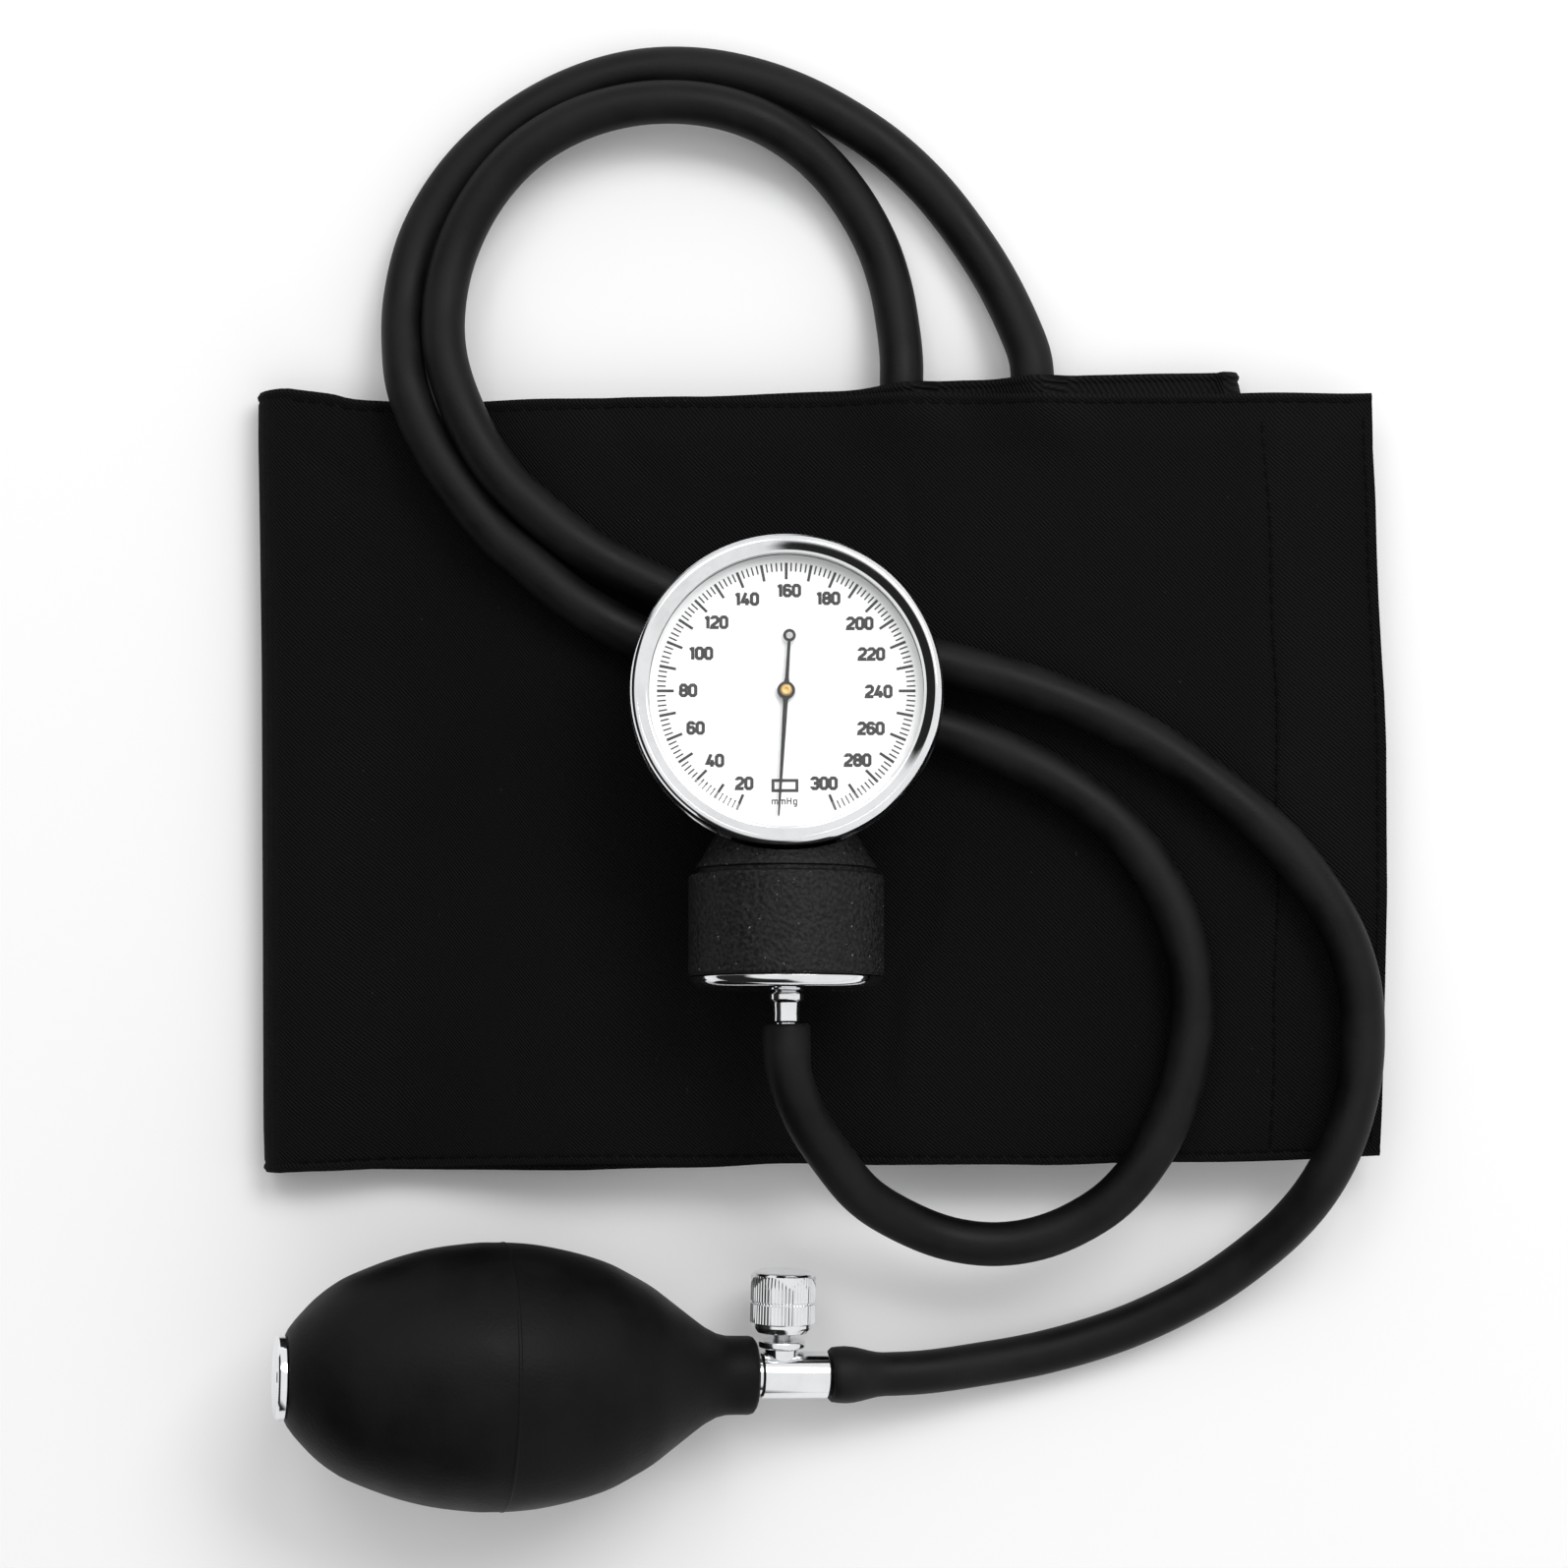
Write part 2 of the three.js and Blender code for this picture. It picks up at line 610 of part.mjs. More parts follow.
// ---------------------------------------------------------------- bulb and valve
// In the bulb's frame +X runs along its axis from the intake end to the hose, and +Y points to the valve's
// knob.

const bulb = new THREE.Group();
bulb.position.set(BULB.x, BULB.y, BULB.z);
bulb.rotation.order = "ZYX";
bulb.rotation.z = degrees(BULB.yaw);
bulb.rotation.y = degrees(BULB.tilt);
// Shapes turned about +Z lie along the bulb's axis in this group.
const axial = new THREE.Group();
axial.rotation.y = Math.PI / 2;
bulb.add(axial);

function bulbGeometry() {
  const outer = [
    [7.9, -39.3], [12.5, -36.2], [17.1, -30.7], [21, -22], [23.7, -11], [24.5, -1],
    [23.9, 7.5], [21.9, 16.5], [18.5, 24.1], [13.7, 31.6], [8.6, 38.3], [7.3, 42], [7.3, 46.6], [6.4, 47.6],
  ];
  const inner = [
    [3.9, 47.6], [3.9, 40], [11.2, 31], [18.6, 17], [21.5, 3],
    [20.4, -13], [12, -32], [5.5, -35.8], [5.5, -39.3],
  ];
  return turned([...outer, ...inner], 24, true);
}

function buildIntake() {
  const cap = [
    [7.5, -41.2], [7.75, -40.8], [7.75, -39.7], [5.2, -39.6], [5.2, -30.8],
    [3, -30.8], [3, -37.2], [1.4, -38.2], [1.4, -41.2],
  ];
  axial.add(mesh("intake_cap", turned(cap, 32, true), "chrome"));
  axial.add(mesh("intake_ball", new THREE.SphereGeometry(2.3, 16, 12).translate(0, 0, -34.8), "steel"));
  axial.add(mesh("intake_retainer", ring(1.5, 2.7, -32.7, -31.6, SMALL_ROUND), "brass"));
}

// The valve body plugs into the bulb's neck, carries the release screw on its side and ends in a hose barb.
function valveBodyGeometry() {
  const body = turned([
    [3.6, 39.6], [3.6, VALVE.bodyFrom],
    [VALVE.radius, VALVE.bodyFrom + 0.2], [VALVE.radius, VALVE.bodyTo - 0.2], [4.1, VALVE.bodyTo],
    [2.1, VALVE.bodyTo + 0.2], [2.6, 64.8], [2.1, 65], [2.6, 67.8], [2.1, 68], [2.5, 70.2], [2, VALVE.barbTo],
    [1.2, VALVE.barbTo], [1.2, 45], [2.7, 45], [2.7, 39.6],
  ], 28, true);
  body.rotateY(Math.PI / 2);
  const across = (radius, low, high) =>
    disc(radius, low, high, SMALL_ROUND).rotateX(-Math.PI / 2).translate(VALVE.knobAt, 0, 0);
  return toGeometry(
    toSolid(body).add(toSolid(across(3.2, 0, 4.9))).subtract(toSolid(across(1.9, -1.2, 8))),
  );
}

function knobGeometry() {
  return turned([
    [5, 7.9], [VALVE.knobRadius, 9], [VALVE.knobRadius, 13.3], [5.7, 13.7], [VALVE.knobRadius, 14.1],
    [VALVE.knobRadius, 18.7], [5.6, 19.4], [0, 19.4], [0, 12.4], [2, 12.4], [2, 7.9],
  ], 28, true);
}

function buildValve() {
  bulb.add(mesh("release_valve_body", valveBodyGeometry(), "chrome"));
  const cross = new THREE.Group();
  cross.position.x = VALVE.knobAt;
  cross.rotation.x = -Math.PI / 2;
  bulb.add(cross);
  cross.add(mesh("valve_collar", ring(2.1, 4.4, 5.2, 6.5, 24), "chrome"));
  const spindle = turned([[0, 1], [0.8, 1], [1.6, 2.4], [1.6, 12.1], [0, 12.1]], SMALL_ROUND);
  cross.add(mesh("valve_spindle", spindle, "steel"));
  cross.add(mesh("valve_knob", knobGeometry(), "chrome"));
  cross.add(mesh("valve_seal", disc(1.5, 0, 0.7, SMALL_ROUND), "seal"));
  axial.add(mesh("outlet_disc", disc(2.2, 43.8, 44.6, SMALL_ROUND), "seal"));
  axial.add(mesh("outlet_seat", ring(1.2, 2.4, 40.2, 41.8, SMALL_ROUND), "brass"));
}

// ---------------------------------------------------------------- the whole

// Where a hose's mouth lies on a fitting, and the way from the hose into the fitting.
function mouthOn(group, distance) {
  group.updateWorldMatrix(true, false);
  const mouth = new THREE.Vector3(0, 0, distance).applyMatrix4(group.matrixWorld);
  const direction = new THREE.Vector3(0, 0, -1).transformDirection(group.matrixWorld);
  return { mouth, direction };
}

function buildHoses() {
  const group = new THREE.Group();
  const atValve = mouthOn(axial, VALVE.bodyTo + GAP);
  const atGauge = mouthOn(drum, NIPPLE.mouth + GAP);
  const valveBarb = { radius: 2.6, length: VALVE.barbTo - VALVE.bodyTo };
  const gaugeBarb = { radius: NIPPLE.barbRadius, length: NIPPLE.barb - NIPPLE.mouth };
  group.add(mesh("bulb_hose", hoseGeometry(BULB_HOSE_ROUTE, atValve, valveBarb), "blackRubber"));
  group.add(mesh("gauge_hose", hoseGeometry(GAUGE_HOSE_ROUTE, atGauge, gaugeBarb), "blackRubber"));
  return group;
}

function build() {
  const monitor = new THREE.Group();
  monitor.add(buildCuff());
  buildDialSide();
  buildNeedle();
  buildPinion();
  buildSector();
  buildMovement();
  buildDrum();
  monitor.add(gauge);
  axial.add(mesh("bulb_shell", bulbGeometry(), "blackRubber"));
  buildIntake();
  buildValve();
  monitor.add(bulb);
  monitor.add(buildHoses());
  return monitor;
}

const monitor = build();

export default monitor;
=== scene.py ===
"""The visual model of an aneroid blood pressure monitor, built round its CAD frame.

Shapes are worked out in millimetres on the frame's own axes, and turned into metres when a mesh is made.
"""
import functools
import json
import math
import random

import bmesh
import bpy
from mathutils import Matrix, Vector, noise


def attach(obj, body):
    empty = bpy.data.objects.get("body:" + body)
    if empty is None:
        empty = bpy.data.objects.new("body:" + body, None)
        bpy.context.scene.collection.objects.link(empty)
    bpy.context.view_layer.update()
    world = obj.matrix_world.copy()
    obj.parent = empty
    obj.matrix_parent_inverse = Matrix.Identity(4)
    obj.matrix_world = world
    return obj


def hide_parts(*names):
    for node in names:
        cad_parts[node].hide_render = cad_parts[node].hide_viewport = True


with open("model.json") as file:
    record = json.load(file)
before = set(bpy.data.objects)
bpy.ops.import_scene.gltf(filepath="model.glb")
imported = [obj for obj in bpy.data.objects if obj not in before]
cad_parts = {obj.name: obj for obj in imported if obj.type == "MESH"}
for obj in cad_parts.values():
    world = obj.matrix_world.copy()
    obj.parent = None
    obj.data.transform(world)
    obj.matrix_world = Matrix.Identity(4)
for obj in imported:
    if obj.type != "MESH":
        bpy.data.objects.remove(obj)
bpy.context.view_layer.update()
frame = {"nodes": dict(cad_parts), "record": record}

MM = 0.001
random.seed(7)


def clamped(t):
    return min(1.0, max(0.0, t))


def smooth(t):
    """An even rise from 0 to 1 as t goes from 0 to 1, flat at both ends and beyond them."""
    t = clamped(t)
    return t * t * (3 - 2 * t)


# ---------------------------------------------------------------- camera, light and floor

CAMERA_PLACE = (-0.0069, 0.0282, 0.750)
CAMERA_LENS = 90.4
ROOM_LIGHT = 0.92
ROOM_DARK_SIDE = (-0.86, -0.51, 0.0)
DARKEST = 0.02
FLOOR_EDGE = 2.5
FLOOR_DROP = 0.0001


def studio_world():
    """A bright white room with one soft dark side, low down towards -X and a little -Y."""
    world = bpy.data.worlds.new("studio")
    world.use_nodes = True
    tree = world.node_tree
    background = tree.nodes["Background"]
    background.inputs["Strength"].default_value = ROOM_LIGHT
    direction = node(tree, "ShaderNodeTexCoord").outputs["Generated"]
    towards = node(
        tree, "ShaderNodeVectorMath", {0: direction, 1: ROOM_DARK_SIDE}, operation="DOT_PRODUCT"
    ).outputs["Value"]
    height = node(tree, "ShaderNodeSeparateXYZ", {"Vector": direction}).outputs["Z"]
    aside = between(tree, towards, 0.3, 0.42, 1.0, DARKEST)
    above = between(tree, height, 0.62, 0.76)
    tone = math_node(tree, "MAXIMUM", aside, above)
    colour = node(tree, "ShaderNodeCombineColor", {"Red": tone, "Green": tone, "Blue": tone})
    tree.links.new(colour.outputs["Color"], background.inputs["Color"])
    return world


def soft_light(name, place, size, power):
    """A rectangular lamp that faces the origin."""
    data = bpy.data.lights.new(name, "AREA")
    data.shape = "RECTANGLE"
    data.size, data.size_y = size
    data.energy = power
    light = bpy.data.objects.new(name, data)
    light.location = place
    light.rotation_euler = (-Vector(place)).to_track_quat("-Z", "Y").to_euler()
    bpy.context.collection.objects.link(light)


def build_stage():
    camera_data = bpy.data.cameras.new("camera")
    camera_data.lens = CAMERA_LENS
    camera_data.sensor_width = 36
    camera_data.clip_start = 0.01
    camera = bpy.data.objects.new("camera", camera_data)
    camera.location = CAMERA_PLACE
    bpy.context.collection.objects.link(camera)
    bpy.context.scene.camera = camera

    scene = bpy.context.scene
    scene.view_settings.view_transform = "Standard"
    scene.world = studio_world()

    soft_light("key_softbox", (0.45, 0.7, 1.1), (0.7, 0.5), 8)
    soft_light("fill_softbox", (-0.35, 0.9, 1.3), (0.5, 0.5), 3)

    floor_mesh = bpy.data.meshes.new("floor")
    corners = [(-1, -1), (1, -1), (1, 1), (-1, 1)]
    floor_mesh.from_pydata([(x * FLOOR_EDGE, y * FLOOR_EDGE, -FLOOR_DROP) for x, y in corners], [], [(0, 1, 2, 3)])
    floor = bpy.data.objects.new("floor", floor_mesh)
    bpy.context.collection.objects.link(floor)
    floor_mesh.materials.append(plain("floor_paper", (0.86, 0.86, 0.865), 0.8)[0])


# ---------------------------------------------------------------- materials

DIAGONAL_WAVE = 0.444  # the wave texture's Scale at which its diagonal bands are one metre apart


def plain(name, color, roughness, metallic=0.0, **sockets):
    """A new principled material, with its node tree and its shader."""
    material = bpy.data.materials.new(name)
    material.use_nodes = True
    shader = material.node_tree.nodes["Principled BSDF"]
    shader.inputs["Base Color"].default_value = (*color, 1)
    shader.inputs["Roughness"].default_value = roughness
    shader.inputs["Metallic"].default_value = metallic
    for key, value in sockets.items():
        shader.inputs[key.replace("_", " ")].default_value = value
    return material, material.node_tree, shader


def node(tree, kind, sockets=None, **properties):
    """A new node whose sockets are linked where they are given a socket, and set where given a value."""
    made = tree.nodes.new(kind)
    for key, value in properties.items():
        setattr(made, key, value)
    for key, value in (sockets or {}).items():
        if isinstance(value, bpy.types.NodeSocket):
            tree.links.new(value, made.inputs[key])
        else:
            made.inputs[key].default_value = value
    return made


def object_place(tree, scale=(1, 1, 1)):
    place = node(tree, "ShaderNodeTexCoord").outputs["Object"]
    return node(tree, "ShaderNodeMapping", {"Vector": place, "Scale": scale}).outputs["Vector"]


def grain(tree, scale, detail=3.0, roughness=0.5, stretch=(1, 1, 1)):
    """Noise between 0 and 1. scale is in features per metre."""
    place = object_place(tree, stretch)
    sockets = {"Vector": place, "Scale": scale, "Detail": detail, "Roughness": roughness}
    return node(tree, "ShaderNodeTexNoise", sockets).outputs["Fac"]


def between(tree, value, low, high, start=0.0, end=1.0):
    """value carried from low..high to start..end, and held at the ends."""
    sockets = {"Value": value, "From Min": low, "From Max": high, "To Min": start, "To Max": end}
    return node(tree, "ShaderNodeMapRange", sockets).outputs["Result"]


def math_node(tree, operation, a, b=0.0):
    return node(tree, "ShaderNodeMath", {0: a, 1: b}, operation=operation).outputs["Value"]


def mixed(tree, factor, a, b):
    """Colour a where factor is 0 and colour b where it is 1."""
    made = tree.nodes.new("ShaderNodeMix")
    made.data_type = "RGBA"
    tree.links.new(factor, made.inputs[0])
    for socket, value in ((made.inputs[6], a), (made.inputs[7], b)):
        if isinstance(value, bpy.types.NodeSocket):
            tree.links.new(value, socket)
        else:
            socket.default_value = (*value, 1)
    return made.outputs[2]


def bumped(tree, shader, height, strength, distance):
    sockets = {"Height": height, "Strength": strength, "Distance": distance}
    tree.links.new(node(tree, "ShaderNodeBump", sockets).outputs["Normal"], shader.inputs["Normal"])


def woven(name, dark, light, rib, roughness=0.78):
    """Twill cloth: fine slanting ribs broken into threads, with uneven dye and a little lint."""
    material, tree, shader = plain(name, dark, roughness, Specular_IOR_Level=0.1)
    place = object_place(tree)

    def bands(vector, spacing, **sockets):
        sockets = {"Vector": vector, "Scale": DIAGONAL_WAVE / spacing} | {
            key.replace("_", " "): value for key, value in sockets.items()
        }
        return node(tree, "ShaderNodeTexWave", sockets, bands_direction="DIAGONAL").outputs["Fac"]

    ribs = bands(place, rib, Distortion=0.6, Detail=1.0, Detail_Scale=0.5)
    turned_place = node(tree, "ShaderNodeMapping", {"Vector": place, "Rotation": (0, 0, math.radians(68))})
    threads = bands(turned_place.outputs["Vector"], rib * 0.62)
    cross = math_node(tree, "MULTIPLY", ribs, between(tree, threads, 0, 1, 0.55, 1))
    fuzz = grain(tree, 2600, 2)
    height = math_node(tree, "ADD", cross, math_node(tree, "MULTIPLY", fuzz, 0.35))
    patches = between(tree, grain(tree, 38, 3), 0.3, 0.7)
    tone = math_node(tree, "MULTIPLY", cross, between(tree, patches, 0, 1, 0.6, 1))
    lint = between(tree, grain(tree, 900, 2, 0.6, (1, 0.55, 1)), 0.75, 0.81, 0, 0.5)
    cloth = mixed(tree, tone, dark, light)
    colour = mixed(tree, lint, cloth, tuple(4.5 * v for v in light))
    tree.links.new(colour, shader.inputs["Base Color"])
    tree.links.new(between(tree, patches, 0, 1, roughness - 0.08, roughness + 0.08), shader.inputs["Roughness"])
    bumped(tree, shader, height, 1.0, 0.0003)
    return material


def rubber(name, dark, light, roughness, mould=0.35, gloss=0.2):
    """Moulded rubber: a faint mould texture, worn patches that shine a little and pale dust."""
    material, tree, shader = plain(name, dark, roughness, Specular_IOR_Level=gloss)
    fine = grain(tree, 1500, 3)
    wide = grain(tree, 60, 4, 0.6)
    dust = between(tree, grain(tree, 2200, 2, 0.7), 0.7, 0.82, 0, 0.35)
    tone = mixed(tree, between(tree, wide, 0.35, 0.7), dark, light)
    colour = mixed(tree, dust, tone, tuple(5 * v for v in light))
    tree.links.new(colour, shader.inputs["Base Color"])
    tree.links.new(between(tree, wide, 0.3, 0.7, roughness - 0.08, roughness + 0.1), shader.inputs["Roughness"])
    height = math_node(tree, "ADD", fine, math_node(tree, "MULTIPLY", wide, 0.6))
    bumped(tree, shader, height, mould, 0.00012)
    return material


def metal(name, color, roughness, scratch=0.08, tarnish=None, stretch=(1, 1, 1)):
    """Plated or turned metal: polishing marks, smudges in the gloss, and darker tarnish where given."""
    material, tree, shader = plain(name, color, roughness, 1.0)
    marks = grain(tree, 1400, 4, 0.6, stretch)
    smudge = grain(tree, 95, 4, 0.65)
    tree.links.new(
        between(tree, smudge, 0.3, 0.75, max(0.02, roughness * 0.7), roughness * 1.9), shader.inputs["Roughness"]
    )
    shade = tarnish or tuple(0.86 * v for v in color)
    tree.links.new(mixed(tree, between(tree, smudge, 0.42, 0.8), color, shade), shader.inputs["Base Color"])
    bumped(tree, shader, marks, scratch, 0.00004)
    return material


def crinkle(name):
    """Wrinkle paint: close rounded pimples, with pale specks painted into its colour as glints of light."""
    material, tree, shader = plain(name, (0.012, 0.012, 0.013), 0.5, Specular_IOR_Level=0.16)
    place = object_place(tree)
    cells = node(tree, "ShaderNodeTexVoronoi", {"Vector": place, "Scale": 1150.0}, feature="SMOOTH_F1")
    lumps = math_node(tree, "SUBTRACT", 1.0, cells.outputs["Distance"])
    folds = grain(tree, 1500, 3, 0.6)
    height = math_node(tree, "ADD", lumps, math_node(tree, "MULTIPLY", folds, 0.8))
    # Painted highlight: pale specks in the base colour stand in for the lamps' glints on the crinkled paint.
    painted_glint_mask = between(tree, grain(tree, 1250, 2, 0.5), 0.72, 0.77, 0, 1)
    tone = mixed(tree, between(tree, folds, 0.4, 0.65), (0.003, 0.003, 0.0032), (0.016, 0.016, 0.0165))
    # The painted glints' pale colour.
    colour = mixed(tree, painted_glint_mask, tone, (0.26, 0.26, 0.27))
    tree.links.new(colour, shader.inputs["Base Color"])
    tree.links.new(between(tree, folds, 0.3, 0.7, 0.42, 0.62), shader.inputs["Roughness"])
    bumped(tree, shader, height, 0.75, 0.0003)
    return material


def pile(name):
    """Hook or loop tape: a mat of small stiff fibres."""
    material, tree, shader = plain(name, (0.008, 0.008, 0.009), 0.9, Specular_IOR_Level=0.15)
    fibres = grain(tree, 2100, 4, 0.75)
    tree.links.new(
        mixed(tree, between(tree, fibres, 0.4, 0.7), (0.005, 0.005, 0.006), (0.03, 0.03, 0.033)),
        shader.inputs["Base Color"],
    )
    bumped(tree, shader, fibres, 1.0, 0.0007)
    return material


def enamel(name):
    """White dial enamel, very slightly uneven."""
    material, tree, shader = plain(name, (0.78, 0.785, 0.79), 0.4, Specular_IOR_Level=0.3)
    cloud = grain(tree, 140, 3)
    tree.links.new(
        mixed(tree, between(tree, cloud, 0.35, 0.7), (0.79, 0.795, 0.8), (0.75, 0.755, 0.76)),
        shader.inputs["Base Color"],
    )
    bumped(tree, shader, grain(tree, 1800, 2), 0.05, 0.00002)
    return material


def clear_glass(name):
    """Clear glass with the faintest wiping marks in its gloss."""
    material, tree, shader = plain(name, (1, 1, 1), 0.02, IOR=1.46)
    shader.inputs["Transmission Weight"].default_value = 1.0
    wipe = grain(tree, 70, 3)
    tree.links.new(between(tree, wipe, 0.45, 0.8, 0.0, 0.008), shader.inputs["Roughness"])
    return material


def build_materials():
    return {
        "black_nylon": woven("black_nylon", (0.0006, 0.0006, 0.001), (0.0105, 0.0105, 0.0118), 0.00055),
        "cuff_lining": woven("cuff_lining", (0.001, 0.001, 0.0014), (0.012, 0.012, 0.0138), 0.0008, 0.82),
        "stitch_thread": woven("stitch_thread", (0.001, 0.001, 0.0013), (0.005, 0.005, 0.006), 0.0003, 0.6),
        "bladder_rubber": rubber("bladder_rubber", (0.03, 0.022, 0.02), (0.06, 0.045, 0.04), 0.6),
        "hook_and_loop": pile("hook_and_loop"),
        "black_rubber": rubber("black_rubber", (0.0022, 0.0022, 0.0025), (0.008, 0.008, 0.0085), 0.52, gloss=0.15),
        "bulb_rubber": rubber("bulb_rubber", (0.0015, 0.0015, 0.0018), (0.005, 0.005, 0.0056), 0.5, 0.5, 0.1),
        "seal_rubber": rubber("seal_rubber", (0.008, 0.008, 0.008), (0.02, 0.02, 0.02), 0.6),
        "crinkle_black": crinkle("crinkle_black"),
        "chrome_plate": metal("chrome_plate", (0.86, 0.87, 0.885), 0.07, 0.04),
        "brass": metal("brass", (0.68, 0.46, 0.17), 0.24, 0.12, (0.5, 0.33, 0.12), (1, 1, 9)),
        "steel": metal("steel", (0.5, 0.51, 0.52), 0.26, 0.12, (0.36, 0.36, 0.37), (1, 1, 9)),
        "spacer_ring": metal("spacer_ring", (0.75, 0.76, 0.77), 0.32, 0.1),
        "dial_enamel": enamel("dial_enamel"),
        "needle_black": rubber("needle_black", (0.004, 0.004, 0.0045), (0.008, 0.008, 0.0085), 0.42, 0.1),
        "dial_ink": rubber("dial_ink", (0.006, 0.006, 0.007), (0.01, 0.01, 0.011), 0.5, 0.05),
        "clear_lens": clear_glass("clear_lens"),
    }


# ---------------------------------------------------------------- mesh helpers


def mesh_object(name, verts, faces, merge):
    """A new object with the points within merge of each other made one, and its faces turned outwards."""
    mesh = bpy.data.meshes.new(name)
    mesh.from_pydata(verts, [], faces)
    work = bmesh.new()
    work.from_mesh(mesh)
    bmesh.ops.remove_doubles(work, verts=work.verts, dist=merge)
    bmesh.ops.recalc_face_normals(work, faces=work.faces)
    work.to_mesh(mesh)
    work.free()
    piece = bpy.data.objects.new(name, mesh)
    bpy.context.collection.objects.link(piece)
    return piece


def coat(mesh, finish, sharp):
    """Give a mesh its material, smooth but for edges sharper than an angle in degrees."""
    mesh.materials.clear()
    mesh.materials.append(materials[finish])
    mesh.shade_smooth()
    mesh.set_sharp_from_angle(angle=math.radians(sharp))


def finished(name, verts, faces, finish, body="main", sharp=40, slot=None):
    """A mesh object from points in millimetres, with its material, riding on a body."""
    piece = mesh_object(name, [(v[0] * MM, v[1] * MM, v[2] * MM) for v in verts], faces, 1e-7)
    coat(piece.data, finish, sharp)
    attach(piece, body)
    return piece


def rounded(points, radius, closed=False):
    """An outline with its corners turned into small arcs of four points."""
    count = len(points)
    out = []
    for i, here in enumerate(points):
        if not closed and i in (0, count - 1):
            out.append(here)
            continue
        before, after = Vector(points[i - 1]), Vector(points[(i + 1) % count])
        corner = Vector(here)
        a, b = before - corner, after - corner
        if a.length < 1e-6 or b.length < 1e-6 or abs(a.angle(b)) > math.radians(162):
            out.append(here)
            continue
        cut = min(radius / math.tan(a.angle(b) / 2), 0.42 * a.length, 0.42 * b.length)
        start, end = corner + a.normalized() * cut, corner + b.normalized() * cut
        for k in range(4):
            t = k / 3
            out.append(tuple((1 - t) ** 2 * start + 2 * t * (1 - t) * corner + t * t * end))
    return out


def turned(points, sides, closed=False, ribs=None):
    """Points and faces of a shape turned about +Z. ribs, where given, is (depth, low, high)."""
    verts, faces = [], []
    for r, h in points:
        for k in range(sides):
            angle = 2 * math.pi * k / sides
            radius = r
            if ribs and ribs[1] <= h <= ribs[2] and k % 4 > 1:
                radius = r - ribs[0]
            verts.append((radius * math.cos(angle), radius * math.sin(angle), h))
    rows = len(points)
    for i in range(rows if closed else rows - 1):
        j = (i + 1) % rows
        for k in range(sides):
            n = (k + 1) % sides
            quad = [i * sides + k, i * sides + n, j * sides + n, j * sides + k]
            if points[i][0] < 1e-6:
                quad = [i * sides, j * sides + n, j * sides + k]
            elif points[j][0] < 1e-6:
                quad = [i * sides + k, i * sides + n, j * sides]
            faces.append(quad)
    return verts, faces


def tube_faces(base, rings, sides):
    """The faces round and at both ends of a tube, whose rings of points follow one another from base."""
    faces = []
    for i in range(rings - 1):
        for k in range(sides):
            n = (k + 1) % sides
            corners = (i * sides + k, i * sides + n, (i + 1) * sides + n, (i + 1) * sides + k)
            faces.append([base + c for c in corners])
    faces.append([base + sides - 1 - k for k in range(sides)])
    faces.append([base + (rings - 1) * sides + k for k in range(sides)])
    return faces


def placed(verts, matrix):
    return [matrix @ Vector(v) for v in verts]


def lathe(name, node_name, points, matrix, finish, closed=False, sides=96, body="main", soften=0.2, **more):
    """A piece turned from an outline of (radius, height) points, in the place of a node of the frame."""
    ribs = more.pop("ribs", None)
    verts, faces = turned(rounded(points, soften, closed), sides, closed, ribs)
    piece = finished(name, placed(verts, matrix), faces, finish, body, **more)
    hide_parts(node_name)
    return piece


def turn(axis, degrees):
    return Matrix.Rotation(math.radians(degrees), 4, axis)


GAUGE = Matrix.Translation((-6.5, 44.9, 42)) @ turn("X", -5)
DRUM = GAUGE @ Matrix.Translation((0, 0, -12)) @ turn("X", 90)
BULB = Matrix.Translation((-59, -80.9, 25.1)) @ turn("Z", -1.5) @ turn("Y", 12)
AXIAL = BULB @ turn("Y", 90)
CROSS = BULB @ Matrix.Translation((52.7, 0, 0)) @ turn("X", -90)


# ---------------------------------------------------------------- hoses

HOSE_RADIUS = 4.1
INSIDE_CUFF = 6
HOSE_SIDES = 28
HOSE_SPACING = 1.5
MOUTH_ROUNDING = 0.45
BARB_DEPTH = 8.5
CURVE_STEPS = 24
VALVE_MOUTH = AXIAL @ Vector((0, 0, 62.0))
GAUGE_MOUTH = DRUM @ Vector((0, 0, 59.5))
BULB_HOSE_ROUTE = [
    (15.2, 103.9, 9.7), (15.2, 108, 9), (14.7, 113.7, 7.2), (13.2, 122.6, 5), (10.5, 130.6, 4.6),
    (5.2, 139.7, 5.2), (-1.5, 146.9, 6.8), (-9.5, 152.1, 8.8), (-18.5, 155.3, 9.8), (-28, 156.4, 10),
    (-37.7, 155.5, 9.9), (-47.2, 152.4, 9.8), (-56.1, 146.8, 9.7), (-63.4, 138.6, 9.5), (-68.6, 128.2, 9.5),
    (-70.7, 118, 10.9), (-70.2, 108.5, 14.3), (-67, 98.5, 17), (-60.6, 87.1, 18.9), (-50.9, 77.4, 20.2),
    (-43.1, 71.6, 20.1), (-34.2, 66.7, 19.6), (-25, 62.5, 19.3), (-11.9, 57.9, 19.3), (8.2, 53.9, 19.3),
    (25.1, 50.2, 19.3), (41.4, 45.4, 19.3), (57.1, 38.5, 19.3), (71.6, 29.1, 19.3), (86.3, 16.4, 19.2),
    (96.2, 2.1, 18.7), (99.9, -8.5, 18.2), (100.7, -19, 18), (99.9, -28, 18), (97, -38.2, 18.4),
    (92.7, -46.8, 17.2), (87.5, -54.2, 13.2), (81.1, -60.6, 9.4), (74, -66.2, 6.7), (66.2, -70.8, 5.3),
    (58, -74.6, 4.5), (49.2, -77.6, 4.3), (40, -79.9, 4.6), (30.8, -81.4, 5.5), (19.5, -82.6, 8.1),
    (9.8, -82.7, 10.4), tuple(VALVE_MOUTH),
]
